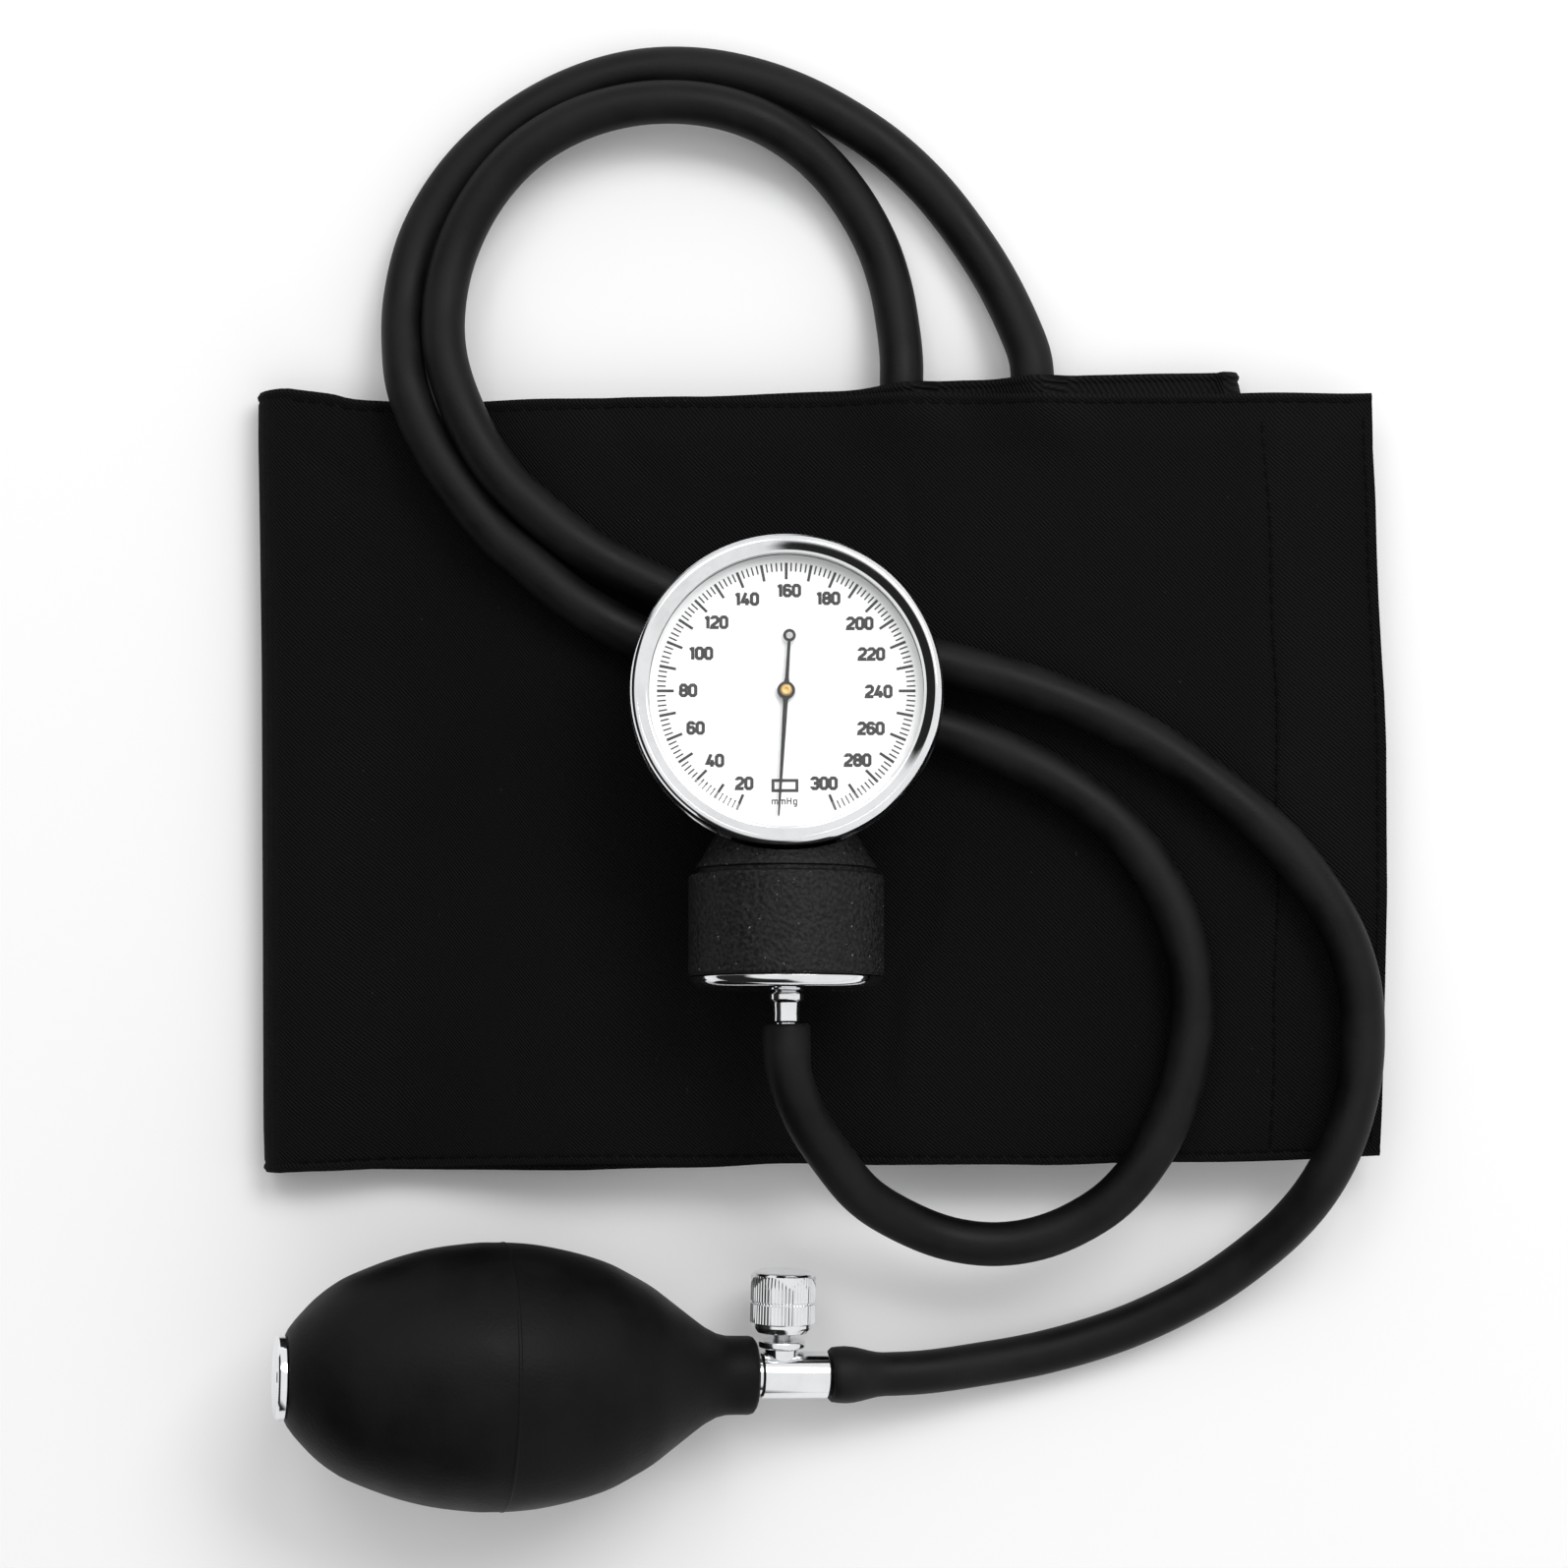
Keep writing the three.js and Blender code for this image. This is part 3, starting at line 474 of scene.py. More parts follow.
GAUGE_HOSE_ROUTE = [
    (39.8, 104.7, 9.7), (39.4, 108.4, 9.2), (37.8, 113.4, 7.6), (33.7, 122.6, 5), (28.9, 130.5, 4.4),
    (21.4, 140.3, 4.3), (13.5, 147.9, 4.3), (5.2, 153.7, 4.3), (-4.3, 158.7, 4.3), (-14.1, 162, 4.3),
    (-24, 163.6, 4.3), (-34.1, 163.3, 4.3), (-43.9, 160.9, 4.3), (-53.4, 156.5, 4.3), (-62.3, 150.2, 4.3),
    (-70, 141.8, 4.4), (-75.8, 131.3, 5), (-78.4, 119.8, 7), (-78.4, 110.5, 10.6), (-77.1, 102, 13.7),
    (-72.9, 91.9, 14.7), (-67, 82.7, 15.9), (-60.3, 74.5, 17.3), (-55.1, 70.1, 18.3), (-46.2, 62.5, 19.3),
    (-34.5, 55.7, 19.3), (-15.6, 47.4, 19.3), (4.5, 42.7, 19.3), (23.5, 38, 19.3), (33.3, 34.3, 19.3),
    (44.2, 28.9, 19.3), (55, 20.7, 19.3), (63, 10, 19.3), (67.6, -1.7, 19.3), (68.9, -14.2, 19.3),
    (67.1, -26.9, 19.3), (62.5, -38.3, 19.3), (55.2, -48, 18.8), (48.2, -53.1, 17.8), (40.4, -56.3, 17.6),
    (32, -57.4, 17.6), (23.5, -56.2, 18.3), (15.5, -52.9, 20.2), (8, -47.9, 24), (2.1, -40.6, 28.9),
    (-3.2, -32, 33.6), (-6.1, -23.7, 35.8), tuple(GAUGE_MOUTH),
]


def route_points(route, spacing):
    """A centripetal Catmull-Rom curve through the route, as evenly spaced points."""
    knots = [Vector(p) for p in route]
    knots = [2 * knots[0] - knots[1]] + knots + [2 * knots[-1] - knots[-2]]
    dense = []
    for i in range(1, len(knots) - 2):
        p0, p1, p2, p3 = knots[i - 1 : i + 3]
        t1 = math.sqrt((p1 - p0).length)
        t2 = t1 + math.sqrt((p2 - p1).length)
        t3 = t2 + math.sqrt((p3 - p2).length)
        for k in range(CURVE_STEPS):
            t = t1 + (t2 - t1) * k / CURVE_STEPS
            a1 = p0 * ((t1 - t) / t1) + p1 * (t / t1)
            a2 = p1 * ((t2 - t) / (t2 - t1)) + p2 * ((t - t1) / (t2 - t1))
            a3 = p2 * ((t3 - t) / (t3 - t2)) + p3 * ((t - t2) / (t3 - t2))
            b1 = a1 * ((t2 - t) / t2) + a2 * (t / t2)
            b2 = a2 * ((t3 - t) / (t3 - t1)) + a3 * ((t - t1) / (t3 - t1))
            dense.append(b1 * ((t2 - t) / (t2 - t1)) + b2 * ((t - t1) / (t2 - t1)))
    dense.append(knots[-2])
    lengths = [0.0]
    for a, b in zip(dense, dense[1:]):
        lengths.append(lengths[-1] + (b - a).length)
    count = round(lengths[-1] / spacing)
    points, at = [], 0
    for k in range(count + 1):
        want = lengths[-1] * k / count
        while at < len(dense) - 2 and lengths[at + 1] < want:
            at += 1
        share = (want - lengths[at]) / max(1e-9, lengths[at + 1] - lengths[at])
        points.append(dense[at].lerp(dense[at + 1], min(1.0, share)))
    return points, lengths[-1]


def build_hose(name, node_name, route, swelling, bore):
    """A smooth hose, stretched where it is pushed over its barb, with an open mouth."""
    exit_point = route[0]
    start = (exit_point[0], exit_point[1] - INSIDE_CUFF, exit_point[2])
    points, length = route_points([start] + route, HOSE_SPACING)
    total = len(points) - 1
    radii = [HOSE_RADIUS + swelling((total - i) * length / total) for i in range(total + 1)]
    line = list(points)
    lip = (points[-1] - points[-2]).normalized()
    mouth_radius = radii[-1]
    radii[-1] = mouth_radius - MOUTH_ROUNDING
    line.insert(-1, points[-1] - lip * MOUTH_ROUNDING)
    radii.insert(-1, mouth_radius)
    for depth, radius in ((0.0, bore + 0.3), (0.4, bore), (BARB_DEPTH, bore)):
        line.append(points[-1] - lip * depth)
        radii.append(radius)
    verts = []
    normal = Vector((0, 0, 1))
    for i, point in enumerate(line):
        if i < len(points):
            ahead = (points[min(i + 1, total)] - points[max(i - 1, 0)]).normalized()
        normal = (normal - ahead * normal.dot(ahead)).normalized()
        side = ahead.cross(normal)
        for k in range(HOSE_SIDES):
            angle = 2 * math.pi * k / HOSE_SIDES
            verts.append(point + radii[i] * (normal * math.cos(angle) + side * math.sin(angle)))
    hose = finished(name, verts, tube_faces(0, len(line), HOSE_SIDES), "black_rubber", sharp=60)
    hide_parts(node_name)


def valve_swelling(d):
    """How far the bulb hose stands out at d from its mouth."""
    return 1.25 * smooth((10.5 - d) / 7.5) - 0.22 * smooth((2.5 - d) / 2.5)


def nipple_swelling(d):
    """How far the gauge hose stands out at d from its mouth."""
    return 0.28 * smooth((10 - d) / 5)


# ---------------------------------------------------------------- cuff

LEFT_FOLD, RIGHT_FOLD, INNER_END, OUTER_END = -100.9, 74.6, -43.7, 104.3
LOW_EDGE, HIGH_EDGE = -44.6, 101.1
BOTTOM_HEIGHT, MIDDLE_HEIGHT, TOP_HEIGHT = 2.5, 9.7, 13.8
FABRIC = 0.8
NECKS = (15.2, 39.8)
HEM = 1.7
HEM_ROWS = [0, 0.3, 0.75, 1.2, 1.5, HEM, 1.9, 2.3, 3.0, 4.2, 6.0, 8.2]
INNER_ROWS = 50
ROW_WIDTH = 145.7
STITCH = 2.9
FIBRE_STEP = 1.3


def row_shares():
    """Where the rows of a sheet lie across the cuff, from 0 to 1: close together in the hems."""
    inner = ROW_WIDTH - 2 * HEM_ROWS[-1]
    rows = HEM_ROWS + [HEM_ROWS[-1] + inner * k / INNER_ROWS for k in range(1, INNER_ROWS)]
    rows += [ROW_WIDTH - v for v in reversed(HEM_ROWS)]
    return [v / ROW_WIDTH for v in rows]


SHEET_ROWS = row_shares()


def sag(x):
    """How far the upper layers have come down past the inner end of the strip, from 0 to 1."""
    return smooth((-44.5 - x) / 33.5)


def middle_height(x):
    return MIDDLE_HEIGHT - 6.9 * sag(x) - 1.45 * smooth((-80 - x) / 14)


def top_height(x):
    return TOP_HEIGHT - 6.9 * sag(x) + 2.15 * smooth((-80 - x) / 18) - 2.5 * smooth((x - 80) / 23.5)


def strip_line():
    """The folded strip's centre line as (x, z, layer, normal x, normal z)."""
    line = []

    def run(layer, start, end, step, height):
        count = round(abs(end - start) / step)
        for i in range(count + 1):
            x = start + (end - start) * i / count
            line.append([x, height(x), layer])

    def fold(layer, at, low, high, side, turns):
        radius = (high - low) / 2
        for i in range(1, turns):
            angle = -math.pi / 2 + math.pi * i / turns
            line.append([at + side * radius * math.cos(angle), low + radius + radius * math.sin(angle), layer])

    run("bottom", INNER_END, RIGHT_FOLD, 2.2, lambda x: BOTTOM_HEIGHT)
    fold("right", RIGHT_FOLD, BOTTOM_HEIGHT, MIDDLE_HEIGHT, 1, 14)
    run("middle", RIGHT_FOLD, LEFT_FOLD, 2.2, middle_height)
    fold("left", LEFT_FOLD, middle_height(LEFT_FOLD), top_height(LEFT_FOLD), -1, 12)
    run("top", LEFT_FOLD, OUTER_END, 1.7, top_height)
    out = []
    for i, (x, z, layer) in enumerate(line):
        before, after = line[max(i - 1, 0)], line[min(i + 1, len(line) - 1)]
        along = Vector((after[0] - before[0], after[1] - before[1])).normalized()
        out.append((x, z, layer, -along.y, along.x))
    return out


# How far the sewn edges wander from straight lines, as (place along the edge, distance) pairs.
HIGH_WANDER = [
    (-106, 0.3), (-103, 0.9), (-100, 1.3), (-96, 0.75), (-91.3, 0.2), (-89.1, -0.4), (-86.9, -0.75), (-61.5, -1.1),
    (-46.9, -0.9), (-36, -0.55), (-3, -0.6), (10, -0.1), (50, 0.2), (85, 0.45), (104, 0.6),
]
LOWER_HIGH_WANDER = [(-106, 0.3), (-100, 1.1), (-88, -0.6), (-47, -1.0), (4, -0.6), (25, 0.5), (50, 1.1), (74, 0.8)]
LOW_WANDER = [
    (-106, -0.5), (-97, 0), (-70, 0.3), (-50, 0.6), (-25, 0.2), (0, -0.1), (30, -0.9), (48, -1.1), (76, -0.9),
    (104, -0.4),
]
END_WANDER = [
    (-45, 0.5), (-38, 0.7), (-20, 1.2), (-1, 1.6), (8, 1.8), (36, 1.65), (45, 1.3), (54, 0.7), (63, 0.2),
    (72, -0.15), (82, -0.4), (91, -0.9), (102, -0.9),
]
FOLD_WANDER = [(-45, 0.45), (0, 0.3), (50, 0.1), (72, -0.2), (85, -0.4), (100, -0.7)]


def read_table(table, at):
    """The value at a place in a table of (place, value) pairs, held past its ends."""
    for (a, low), (b, high) in zip(table, table[1:]):
        if at <= b:
            return low + (high - low) * clamped((at - a) / (b - a))
    return table[-1][1]


@functools.lru_cache(maxsize=None)
def edges(layer, x):
    """The low and the high edge of a layer at x. The lower layers lie a little askew."""
    if layer in ("bottom", "right", "middle"):
        skew = 4.2 * max(0.0, (x + 44) / 124)
        return LOW_EDGE + skew, HIGH_EDGE + skew + read_table(LOWER_HIGH_WANDER, x)
    narrowing = 3.6 * max(0.0, (x + 105) / 210) if layer == "top" else 0.0
    return LOW_EDGE + narrowing + read_table(LOW_WANDER, x), HIGH_EDGE + read_table(HIGH_WANDER, x)


def sideways(layer, x, y):
    """How far a point of the cloth lies along X from the straight fold and the straight outer end."""
    shift = read_table(FOLD_WANDER, y) * smooth((-70 - x) / 30)
    if layer == "top":
        shift += read_table(END_WANDER, y) * smooth((x - 60) / 44)
    return shift


def tunnel(x, y):
    """How far the lower layers open round a hose where it leaves their edge, from 0 to 1."""
    near = min(abs(x - neck) for neck in NECKS)
    return math.cos(math.pi / 2 * min(1.0, near / 9)) ** 2 * smooth((y - 92.5) / 6.5)


def half_gap(layer, x, y):
    """Half the room between the two fabrics, at a point and in the middle of the layer."""
    if layer in ("top", "left"):
        wide = 0.25
    elif layer == "right":
        wide = 1.7
    else:
        end = -82 if layer == "middle" else 20
        wide = 1.7 - 1.45 * smooth((end - 1 - x) / 8)
    low, high = edges(layer, x)
    inside = min(y - low, high - y)
    gap = 0.06 + (wide - 0.06) * smooth((inside - 1.2) / 9)
    if layer == "middle":
        gap = max(gap, 4.5 * tunnel(x, y))
    return gap, wide


PATCH_SEAM = [(-40, 83.7), (28, 84.4), (70, 84.2), (98, 83.0)]
CREASES = [
    # points, half width, depth (below zero for a ridge)
    ([(15.0, 86.3), (16.0, 77), (16.9, 68.3)], 1.5, 0.42),
    ([(24.8, 12.3), (22.2, -1.1), (17.2, -8.2), (16.3, -18.9), (15.0, -27.9)], 2.4, -0.45),
    ([(21.5, 12.0), (18.8, -1.5), (13.9, -9.0), (13.0, -19.2), (12.0, -28)], 2.2, 0.4),
    ([(83.0, 98), (83.4, 60), (84.0, 10), (84.8, -38)], 0.9, 0.28),
    ([(-79.4, 100), (-80.2, 60), (-79.0, 20), (-79.8, -44)], 3.2, 0.3),
    ([(-97.5, 92), (-88, 84), (-76, 80)], 2.2, 0.3),
    ([(-96, -36), (-84, -28), (-70, -26)], 2.6, 0.32),
    ([(60, -39), (64, -30), (72, -22)], 2.2, 0.3),
    ([(-40, 99), (-36, 90), (-28, 84)], 2.4, 0.28),
    ([(-30, -43), (-26, -34), (-16, -27)], 2.6, 0.3),
    ([(90, 97), (86, 84), (88, 70)], 2.4, 0.25),
]


def distance_to(line, x, y):
    best = math.inf
    for (ax, ay), (bx, by) in zip(line, line[1:]):
        dx, dy = bx - ax, by - ay
        t = clamped(((x - ax) * dx + (y - ay) * dy) / (dx * dx + dy * dy))
        best = min(best, math.hypot(x - ax - t * dx, y - ay - t * dy))
    return best


def wrinkle(x, y):
    """Creases, ridges and soft unevenness of the top layer, which the layer under it shares."""
    depth = 0.0
    for line, width, deep in CREASES:
        if abs(x - line[0][0]) > 60:
            continue
        depth -= deep * math.exp(-((distance_to(line, x, y) / width) ** 2))
    depth += 0.34 * noise.noise(Vector((x * 0.032, y * 0.028, 3.1)))
    depth += 0.16 * noise.noise(Vector((x * 0.09, y * 0.075, 8.7)))
    return depth


def droop(layer, x, y):
    """The layers' edges sink towards each other, except where a hose holds them open."""
    low, high = edges(layer, x)
    near_low, near_high = smooth((9 - (y - low)) / 9), smooth((9 - (high - y)) / 9)
    amount = {"top": 0.75, "middle": 1.9}.get(layer, 0.0) * (1 - sag(x))
    return amount * max(near_low, near_high * (1 - tunnel(x, y)))


def lift(x, y):
    """The top layer rises over the two hoses where they leave the layer under it."""
    near = [math.cos(math.pi / 2 * min(1.0, abs(x - neck) / 15)) ** 2 for neck in NECKS]
    return 2.3 * max(near) * smooth((y - 89) / 9)


def drape(layer, x, y):
    """How far a point of a layer lies above its plain height."""
    if layer == "top":
        return wrinkle(x, y) - droop("top", x, y) + lift(x, y)
    if layer == "middle":
        return wrinkle(x, y) * (1 - sag(x)) - droop("middle", x, y)
    return 0.0


def hem_shape(inside, along):
    """The hem's raised roll and the dip that the sewing pulls into it, uneven along the edge."""
    roll = 0.2 * math.exp(-(((inside - 0.8) / 0.55) ** 2))
    dip = 0.24 * math.exp(-(((inside - HEM) / 0.38) ** 2))
    ripple = 0.12 * noise.noise(Vector((along * 0.33, 5.0, 1.0))) * smooth((7 - inside) / 6)
    return roll - dip * (0.75 + 0.25 * math.cos(along * 2 * math.pi / STITCH)) + ripple


def thickness(inside):
    """The fabric's thickness, which thins out in the last millimetre before its edge."""
    return FABRIC * (0.55 + 0.45 * smooth(inside / 0.9))


def sheet_point(line_point, row, side, depth):
    """A point of one fabric: side is +1 outer or -1 inner, depth 0 on its inner face and 1 on its outer."""
    x, z, layer, nx, nz = line_point
    low, high = edges(layer, x)
    y = low + (high - low) * SHEET_ROWS[row]
    gap, wide = half_gap(layer, x, y)
    inside = min(y - low, high - y)
    out = gap + thickness(inside) * depth
    if depth:
        out += hem_shape(inside, x) * 0.9
    z_out = z + nz * side * out + drape(layer, x, y)
    if layer in ("bottom", "right"):
        # the thin edges lie down on what is under them
        up = smooth((z - BOTTOM_HEIGHT) / (MIDDLE_HEIGHT - BOTTOM_HEIGHT)) if layer == "right" else 0.0
        z_out -= (wide - gap) * 0.95 * (1 - up)
    if layer == "left":
        base = middle_height(LEFT_FOLD)
        z_out += wrinkle(LEFT_FOLD, y) * smooth((z - base) / (top_height(LEFT_FOLD) - base))
    wave = 0.5 * noise.noise(Vector((x * 0.05, 2.0 if row > len(SHEET_ROWS) / 2 else 9.0, 4.4)))
    y += wave * smooth((10 - inside) / 10)
    return (x + nx * side * out + sideways(layer, x, y), y, max(0.02, z_out))


def build_sheet(name, node_name, finish, side):
    """One fabric of the cuff as a closed sheet, folded in three."""
    line = strip_line()
    rows = len(SHEET_ROWS)
    verts = [sheet_point(p, j, side, depth) for depth in (0, 1) for p in line for j in range(rows)]
    count = len(line)
    face_size = count * rows
    faces = []
    for i in range(count - 1):
        for j in range(rows - 1):
            a, b, c, d = i * rows + j, i * rows + j + 1, (i + 1) * rows + j + 1, (i + 1) * rows + j
            faces.append([a, b, c, d])
            faces.append([d + face_size, c + face_size, b + face_size, a + face_size])
    border = [(i * rows, (i + 1) * rows) for i in range(count - 1)]
    border += [((i + 1) * rows + rows - 1, i * rows + rows - 1) for i in range(count - 1)]
    border += [(j + 1, j) for j in range(rows - 1)]
    border += [((count - 1) * rows + j, (count - 1) * rows + j + 1) for j in range(rows - 1)]
    for a, b in border:
        faces.append([a, b, b + face_size, a + face_size])
    piece = finished(name, verts, faces, finish, sharp=70)
    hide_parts(node_name)
    return piece


def top_surface(x, y):
    """A point on the outer face of the top layer, in the middle of its fabric's finish."""
    low, high = edges("top", x)
    inside = min(y - low, high - y)
    gap, _ = half_gap("top", x, y)
    out = gap + thickness(inside) + hem_shape(inside, x) * 0.9
    return Vector((x + sideways("top", x, y), y, top_height(x) + out + drape("top", x, y)))


def point_along(line, distance):
    """The (x, y) point at a distance along a line."""
    for a, b in zip(line, line[1:]):
        length = math.dist(a, b)
        if distance <= length or b == line[-1]:
            break
        distance -= length
    t = distance / length
    return a[0] + (b[0] - a[0]) * t, a[1] + (b[1] - a[1]) * t


def stitched(lines):
    """Single thread stitches laid along lines on the top layer, each a small rounded bar."""
    verts, faces = [], []
    sides, rings = 6, 5
    for line in lines:
        total = sum(math.dist(a, b) for a, b in zip(line, line[1:]))
        for s in range(int(total / STITCH)):
            a = top_surface(*point_along(line, s * STITCH + 0.2))
            b = top_surface(*point_along(line, s * STITCH + STITCH - 0.35))
            along = (b - a).normalized()
            beside = along.cross(Vector((0, 0, 1))).normalized()
            up = beside.cross(along)
            tilt = random.uniform(-0.12, 0.12)
            faces += tube_faces(len(verts), rings, sides)
            for r in range(rings):
                t = r / (rings - 1)
                fat = 0.06 + 0.22 * math.sin(math.pi * (0.06 + 0.88 * t)) ** 0.5
                centre = a.lerp(b, t) + beside * tilt * (t - 0.5) + up * (0.02 + 0.12 * math.sin(math.pi * t))
                for k in range(sides):
                    angle = 2 * math.pi * k / sides
                    verts.append(centre + beside * fat * math.cos(angle) + up * fat * math.sin(angle))
    return finished("cuff_stitching", verts, faces, "stitch_thread", slot="black_nylon")


def build_patch(name, node_name, x_range, y_range, height, thick, fibre_side, fibres):
    """A mat of hook or loop tape. Its face on fibre_side, +1 up or -1 down, is fibrous and uneven."""
    (x0, x1), (y0, y1) = x_range, y_range
    nx, ny = round((x1 - x0) / FIBRE_STEP), round((y1 - y0) / FIBRE_STEP)
    verts, faces = [], []
    for side in (-1, 1):
        for i in range(nx + 1):
            for j in range(ny + 1):
                x, y = x0 + (x1 - x0) * i / nx, y0 + (y1 - y0) * j / ny
                z = height(x) + side * thick / 2
                if side == fibre_side:
                    pinch = 1.2 if i in (0, nx) or j in (0, ny) else 0.0
                    z += side * fibres * (noise.noise(Vector((x * 1.7, y * 1.7, 2.0))) - pinch)
                verts.append((x, y, z))
    size = (nx + 1) * (ny + 1)
    for i in range(nx):
        for j in range(ny):
            a = i * (ny + 1) + j
            quad = [a, a + 1, a + ny + 2, a + ny + 1]
            faces.append(quad)
            faces.append([q + size for q in reversed(quad)])
    ring = list(range(ny + 1)) + [i * (ny + 1) + ny for i in range(1, nx + 1)]
    ring += [nx * (ny + 1) + j for j in range(ny - 1, -1, -1)] + [i * (ny + 1) for i in range(nx - 1, 0, -1)]
    for a, b in zip(ring, ring[1:] + ring[:1]):
        faces.append([a, b, b + size, a + size])
    piece = finished(name, verts, faces, "hook_and_loop", sharp=60)
    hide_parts(node_name)


def build_cuff():
    outer = build_sheet("cuff_outer_cloth", "cuff_outer_fabric", "black_nylon", 1)
    inner = build_sheet("cuff_inner_cloth", "cuff_inner_fabric", "cuff_lining", -1)

    hem_x = [LEFT_FOLD + 2 + (OUTER_END - 2.4 - LEFT_FOLD - 2) * k / 69 for k in range(70)]
    low_line = [(x, edges("top", x)[0] + HEM) for x in hem_x]
    high_line = [(x, edges("top", x)[1] - HEM) for x in hem_x]
    end_line = [(OUTER_END - 1.6, y) for y in range(-39, 100, 3)]
    patch_line = [(read_table(PATCH_SEAM, y) + 0.18 * math.sin(y * 0.18), y) for y in range(-40, 99, 3)]
    stitching = stitched([low_line, high_line, end_line, patch_line])
    build_patch("loop_tape", "cuff_loop_patch", (-30, 66), (-33, 92), lambda x: 6.1, 1.6, 1, 0.2)
    build_patch(
        "hook_tape", "cuff_hook_patch", (83.5, 101.5), (-38, 97), lambda x: top_height(x) - 1.95, 1.2, -1, 0.25
    )


# ---------------------------------------------------------------- dial gauge


def joined_by(operation, first, second):
    """first changed by second with a boolean, which is then applied."""
    modifier = first.modifiers.new("cut", "BOOLEAN")
    modifier.operation = operation
    modifier.solver = "MANIFOLD"
    modifier.object = second
    graph = bpy.context.evaluated_depsgraph_get()
    mesh = bpy.data.meshes.new_from_object(first.evaluated_get(graph))
    first.modifiers.clear()
    first.data = mesh
    bpy.data.objects.remove(second)


def tool(points, matrix, sides=96, closed=False):
    """A turned solid, still in millimetres, used only to cut or to join."""
    verts, faces = turned(points, sides, closed)
    return mesh_object("tool", placed(verts, matrix), faces, 1e-4)


def carved(solid, name, finish, node_name):
    """A solid made by booleans, brought to metres and given its finish, riding on the main body."""
    solid.data.transform(Matrix.Scale(MM, 4))
    solid.name = solid.data.name = name
    coat(solid.data, finish, 35)
    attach(solid, "main")
    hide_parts(node_name)


def build_case():
    """The casting: a round dish, and a neck and drum that grow out of its side."""
    dish = [(0, -16.2), (20.5, -16.2), (23, -15), (26.2, -10), (26.8, -6), (26.8, -0.8), (0, -0.8)]
    drum = [
        (0, 20), (12, 20), (12.8, 25), (15.4, 29.4), (16.45, 30.9), (16.5, 31.2), (16, 31.5), (16, 32.1),
        (17.5, 32.5), (17.8, 32.9), (17.8, 50.3), (17.4, 50.8), (0, 50.8),
    ]
    case = tool(rounded(dish, 1.0), GAUGE)
    neck = tool(drum, DRUM)
    joined_by("DIFFERENCE", neck, tool([(0, -3.4), (28.8, -3.4), (28.8, 20), (0, 20)], GAUGE))
    joined_by("UNION", case, neck)
    hollow = [(0, -14.7), (19.6, -14.7), (22, -13.6), (24.8, -9.5), (25.3, -6), (25.3, 1), (0, 1)]
    joined_by("DIFFERENCE", case, tool(hollow, GAUGE))
    joined_by("DIFFERENCE", case, tool([(0, 33.5), (15.8, 33.5), (15.8, 51.8), (0, 51.8)], DRUM))
    joined_by("DIFFERENCE", case, tool([(0, 18), (6, 18), (6, 34), (0, 34)], DRUM, 48))
    carved(case, "gauge_body", "crinkle_black", "gauge_case")


def build_bezel():
    """The chrome rim: a rolled foot, a nearly flat outer band and a slope down to the lens."""
    profile = [
        (27.2, -3), (27.8, -3.15), (28.35, -2.85), (28.42, -2.35), (28.15, -1.95), (28.05, -1.5), (28.12, 0),
        (28.12, 2.7), (28.05, 3.6), (27.9, 4.2), (27.62, 4.6), (27.25, 4.84), (26.9, 4.96), (26.7, 4.97),
        (26.5, 4.88), (25.8, 4.36), (25.12, 3.87), (24.86, 3.8), (24.62, 3.79), (24.62, 3.74),
        (26.8, 3.74), (27.2, 2.5),
    ]
    lathe(
        "gauge_rim", "gauge_bezel", profile, GAUGE, "chrome_plate", closed=True, sides=144, soften=0.1, sharp=50
    )


def stroke(points, width, closed=False):
    """A flat band of one width along a line with mitred corners, as quads of (left, right) points."""
    count = len(points)
    pairs = []
    for i, here in enumerate(points):
        here = Vector(here)
        before = Vector(points[i - 1]) if closed or i else None
        after = Vector(points[(i + 1) % count]) if closed or i < count - 1 else None
        into = (here - before).normalized() if before is not None else (after - here).normalized()
        away = (after - here).normalized() if after is not None else into
        mitre = (into + away).normalized()
        reach = width / 2 / max(0.5, mitre.dot(away))
        side = Vector((-mitre.y, mitre.x)) * reach
        pairs.append((here + side, here - side))
    runs = range(count if closed else count - 1)
    return [(pairs[i], pairs[(i + 1) % count]) for i in runs]


